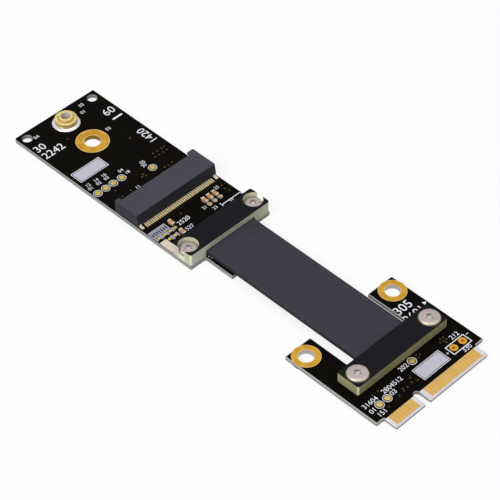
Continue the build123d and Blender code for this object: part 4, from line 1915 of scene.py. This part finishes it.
@dataclass(frozen=True)
class Studio:
    """Camera, floor, world and lamps."""

    lens: float = 153.94
    sensor: float = 36.0
    clip: Point = (0.01, 10.0)
    camera_at: Spot = (0.21552, -0.210657, 0.301561)
    yaw: float = -45.145
    pitch: float = 45.117
    roll: float = -0.227
    fill: float = 0.45
    glow: float = 1.0
    white: Colour = (1.0, 1.0, 1.0)
    floor_tone: Colour = (0.98, 0.98, 0.98)
    floor_glow: float = 0.8
    floor_reach: float = 3000.0
    floor_drop: float = 0.00004
    lamps: tuple[tuple[str, Spot, float, float], ...] = (
        ("key_front", (0.0, -0.83, 0.7), 0.6, 5.4),
        ("top_soft", (0.1, 0.1, 1.0), 0.8, 2.8),
    )

    def camera(self) -> None:
        """Puts the camera where the photograph was taken from."""
        a, e, r = (math.radians(v) for v in (self.yaw, self.pitch, self.roll))
        forward = Vector((math.sin(a) * math.cos(e), math.cos(a) * math.cos(e), -math.sin(e)))
        right = Vector((math.cos(a), -math.sin(a), 0))
        down = forward.cross(right)
        side = right * math.cos(r) - down * math.sin(r)
        low = right * math.sin(r) + down * math.cos(r)
        data = bpy.data.cameras.new("camera")
        data.lens = self.lens
        data.sensor_width = self.sensor
        data.clip_start, data.clip_end = self.clip
        camera = bpy.data.objects.new("camera", data)
        turn = Matrix((side, -low, -forward)).transposed().to_4x4()
        camera.matrix_world = Matrix.Translation(Vector(self.camera_at)) @ turn
        bpy.context.scene.collection.objects.link(camera)
        bpy.context.scene.camera = camera

    def floor(self) -> None:
        """Lays a plain white floor that keeps the object's shadow."""
        g = Graph("floor_white")
        g.dress(Base_Color=self.floor_tone, Roughness=0.9, Specular_IOR_Level=0.0)
        ray = g.node("ShaderNodeLightPath")
        kinds = ("Is Camera Ray", "Is Glossy Ray", "Is Transmission Ray")
        camera, glossy, clear = (Value(g, ray.outputs[kind]) for kind in kinds)
        seen = camera.most(glossy).most(clear)
        glow = g.node("ShaderNodeEmission", inputs={"Color": self.white, "Strength": self.glow})
        sides = {0: seen * self.floor_glow, 1: g.shader.outputs[0], 2: glow.outputs[0]}
        g.join(g.surface, g.node("ShaderNodeMixShader", inputs=sides).outputs[0])

        def build(bm: bmesh.types.BMesh) -> None:
            """Adds one large square."""
            r = self.floor_reach
            bm.faces.new([bm.verts.new((x, y, 0)) for x, y in ((-r, -r), (r, -r), (r, r), (-r, r))])

        mesh = mesh_of(build, "floor")
        mesh.materials.append(g.material)
        plane = bpy.data.objects.new("floor", mesh)
        plane.location.z = -self.floor_drop
        bpy.context.scene.collection.objects.link(plane)

    def world(self) -> None:
        """Plain white surroundings, dimmer as a light than to the camera."""
        world = bpy.data.worlds.new("studio")
        world.use_nodes = True
        bpy.context.scene.world = world
        g = Tree(world.node_tree)
        g.tree.nodes.clear()
        ray = g.node("ShaderNodeLightPath")
        kinds = {0: ray.outputs["Is Camera Ray"], 1: ray.outputs["Is Glossy Ray"]}
        seen = g.node("ShaderNodeMath", {"operation": "MAXIMUM"}, kinds)
        light = g.node("ShaderNodeBackground", inputs={"Color": self.white, "Strength": self.fill})
        backdrop = g.node("ShaderNodeBackground", inputs={"Color": self.white})
        sides = {0: seen.outputs[0], 1: light.outputs[0], 2: backdrop.outputs[0]}
        mix = g.node("ShaderNodeMixShader", inputs=sides)
        g.node("ShaderNodeOutputWorld", inputs={"Surface": mix.outputs[0]})

    @staticmethod
    def lamp(name: str, at: Spot, size: float, power: float) -> None:
        """Hangs one soft lamp that points at the object.

        Args:
            name: The lamp's name.
            at: Where it hangs, in metres.
            size: Side of its square, in metres.
            power: Watts.
        """
        data = bpy.data.lights.new(name, "AREA")
        data.shape = "SQUARE"
        data.size = size
        data.energy = power
        lamp = bpy.data.objects.new(name, data)
        lamp.location = at
        lamp.rotation_mode = "QUATERNION"
        lamp.rotation_quaternion = (-Vector(at)).to_track_quat("-Z", "Y")
        bpy.context.scene.collection.objects.link(lamp)

    def build(self) -> None:
        """Sets up everything that isn't the object."""
        self.camera()
        self.floor()
        self.world()
        for lamp in self.lamps:
            self.lamp(*lamp)
        bpy.context.scene.view_settings.view_transform = "Standard"


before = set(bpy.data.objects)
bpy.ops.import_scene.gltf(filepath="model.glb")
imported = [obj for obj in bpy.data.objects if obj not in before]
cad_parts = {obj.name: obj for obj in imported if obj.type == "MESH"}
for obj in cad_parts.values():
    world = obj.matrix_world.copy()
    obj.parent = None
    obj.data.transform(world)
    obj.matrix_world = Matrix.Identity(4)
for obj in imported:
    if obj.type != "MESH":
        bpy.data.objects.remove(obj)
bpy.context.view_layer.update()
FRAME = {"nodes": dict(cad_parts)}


def main() -> None:
    """Builds the studio and the cable."""
    logging.basicConfig(level=logging.INFO, format="%(name)s %(message)s")
    Studio().build()
    Cable().build(FRAME["nodes"])


if __name__ == "__main__":
    main()
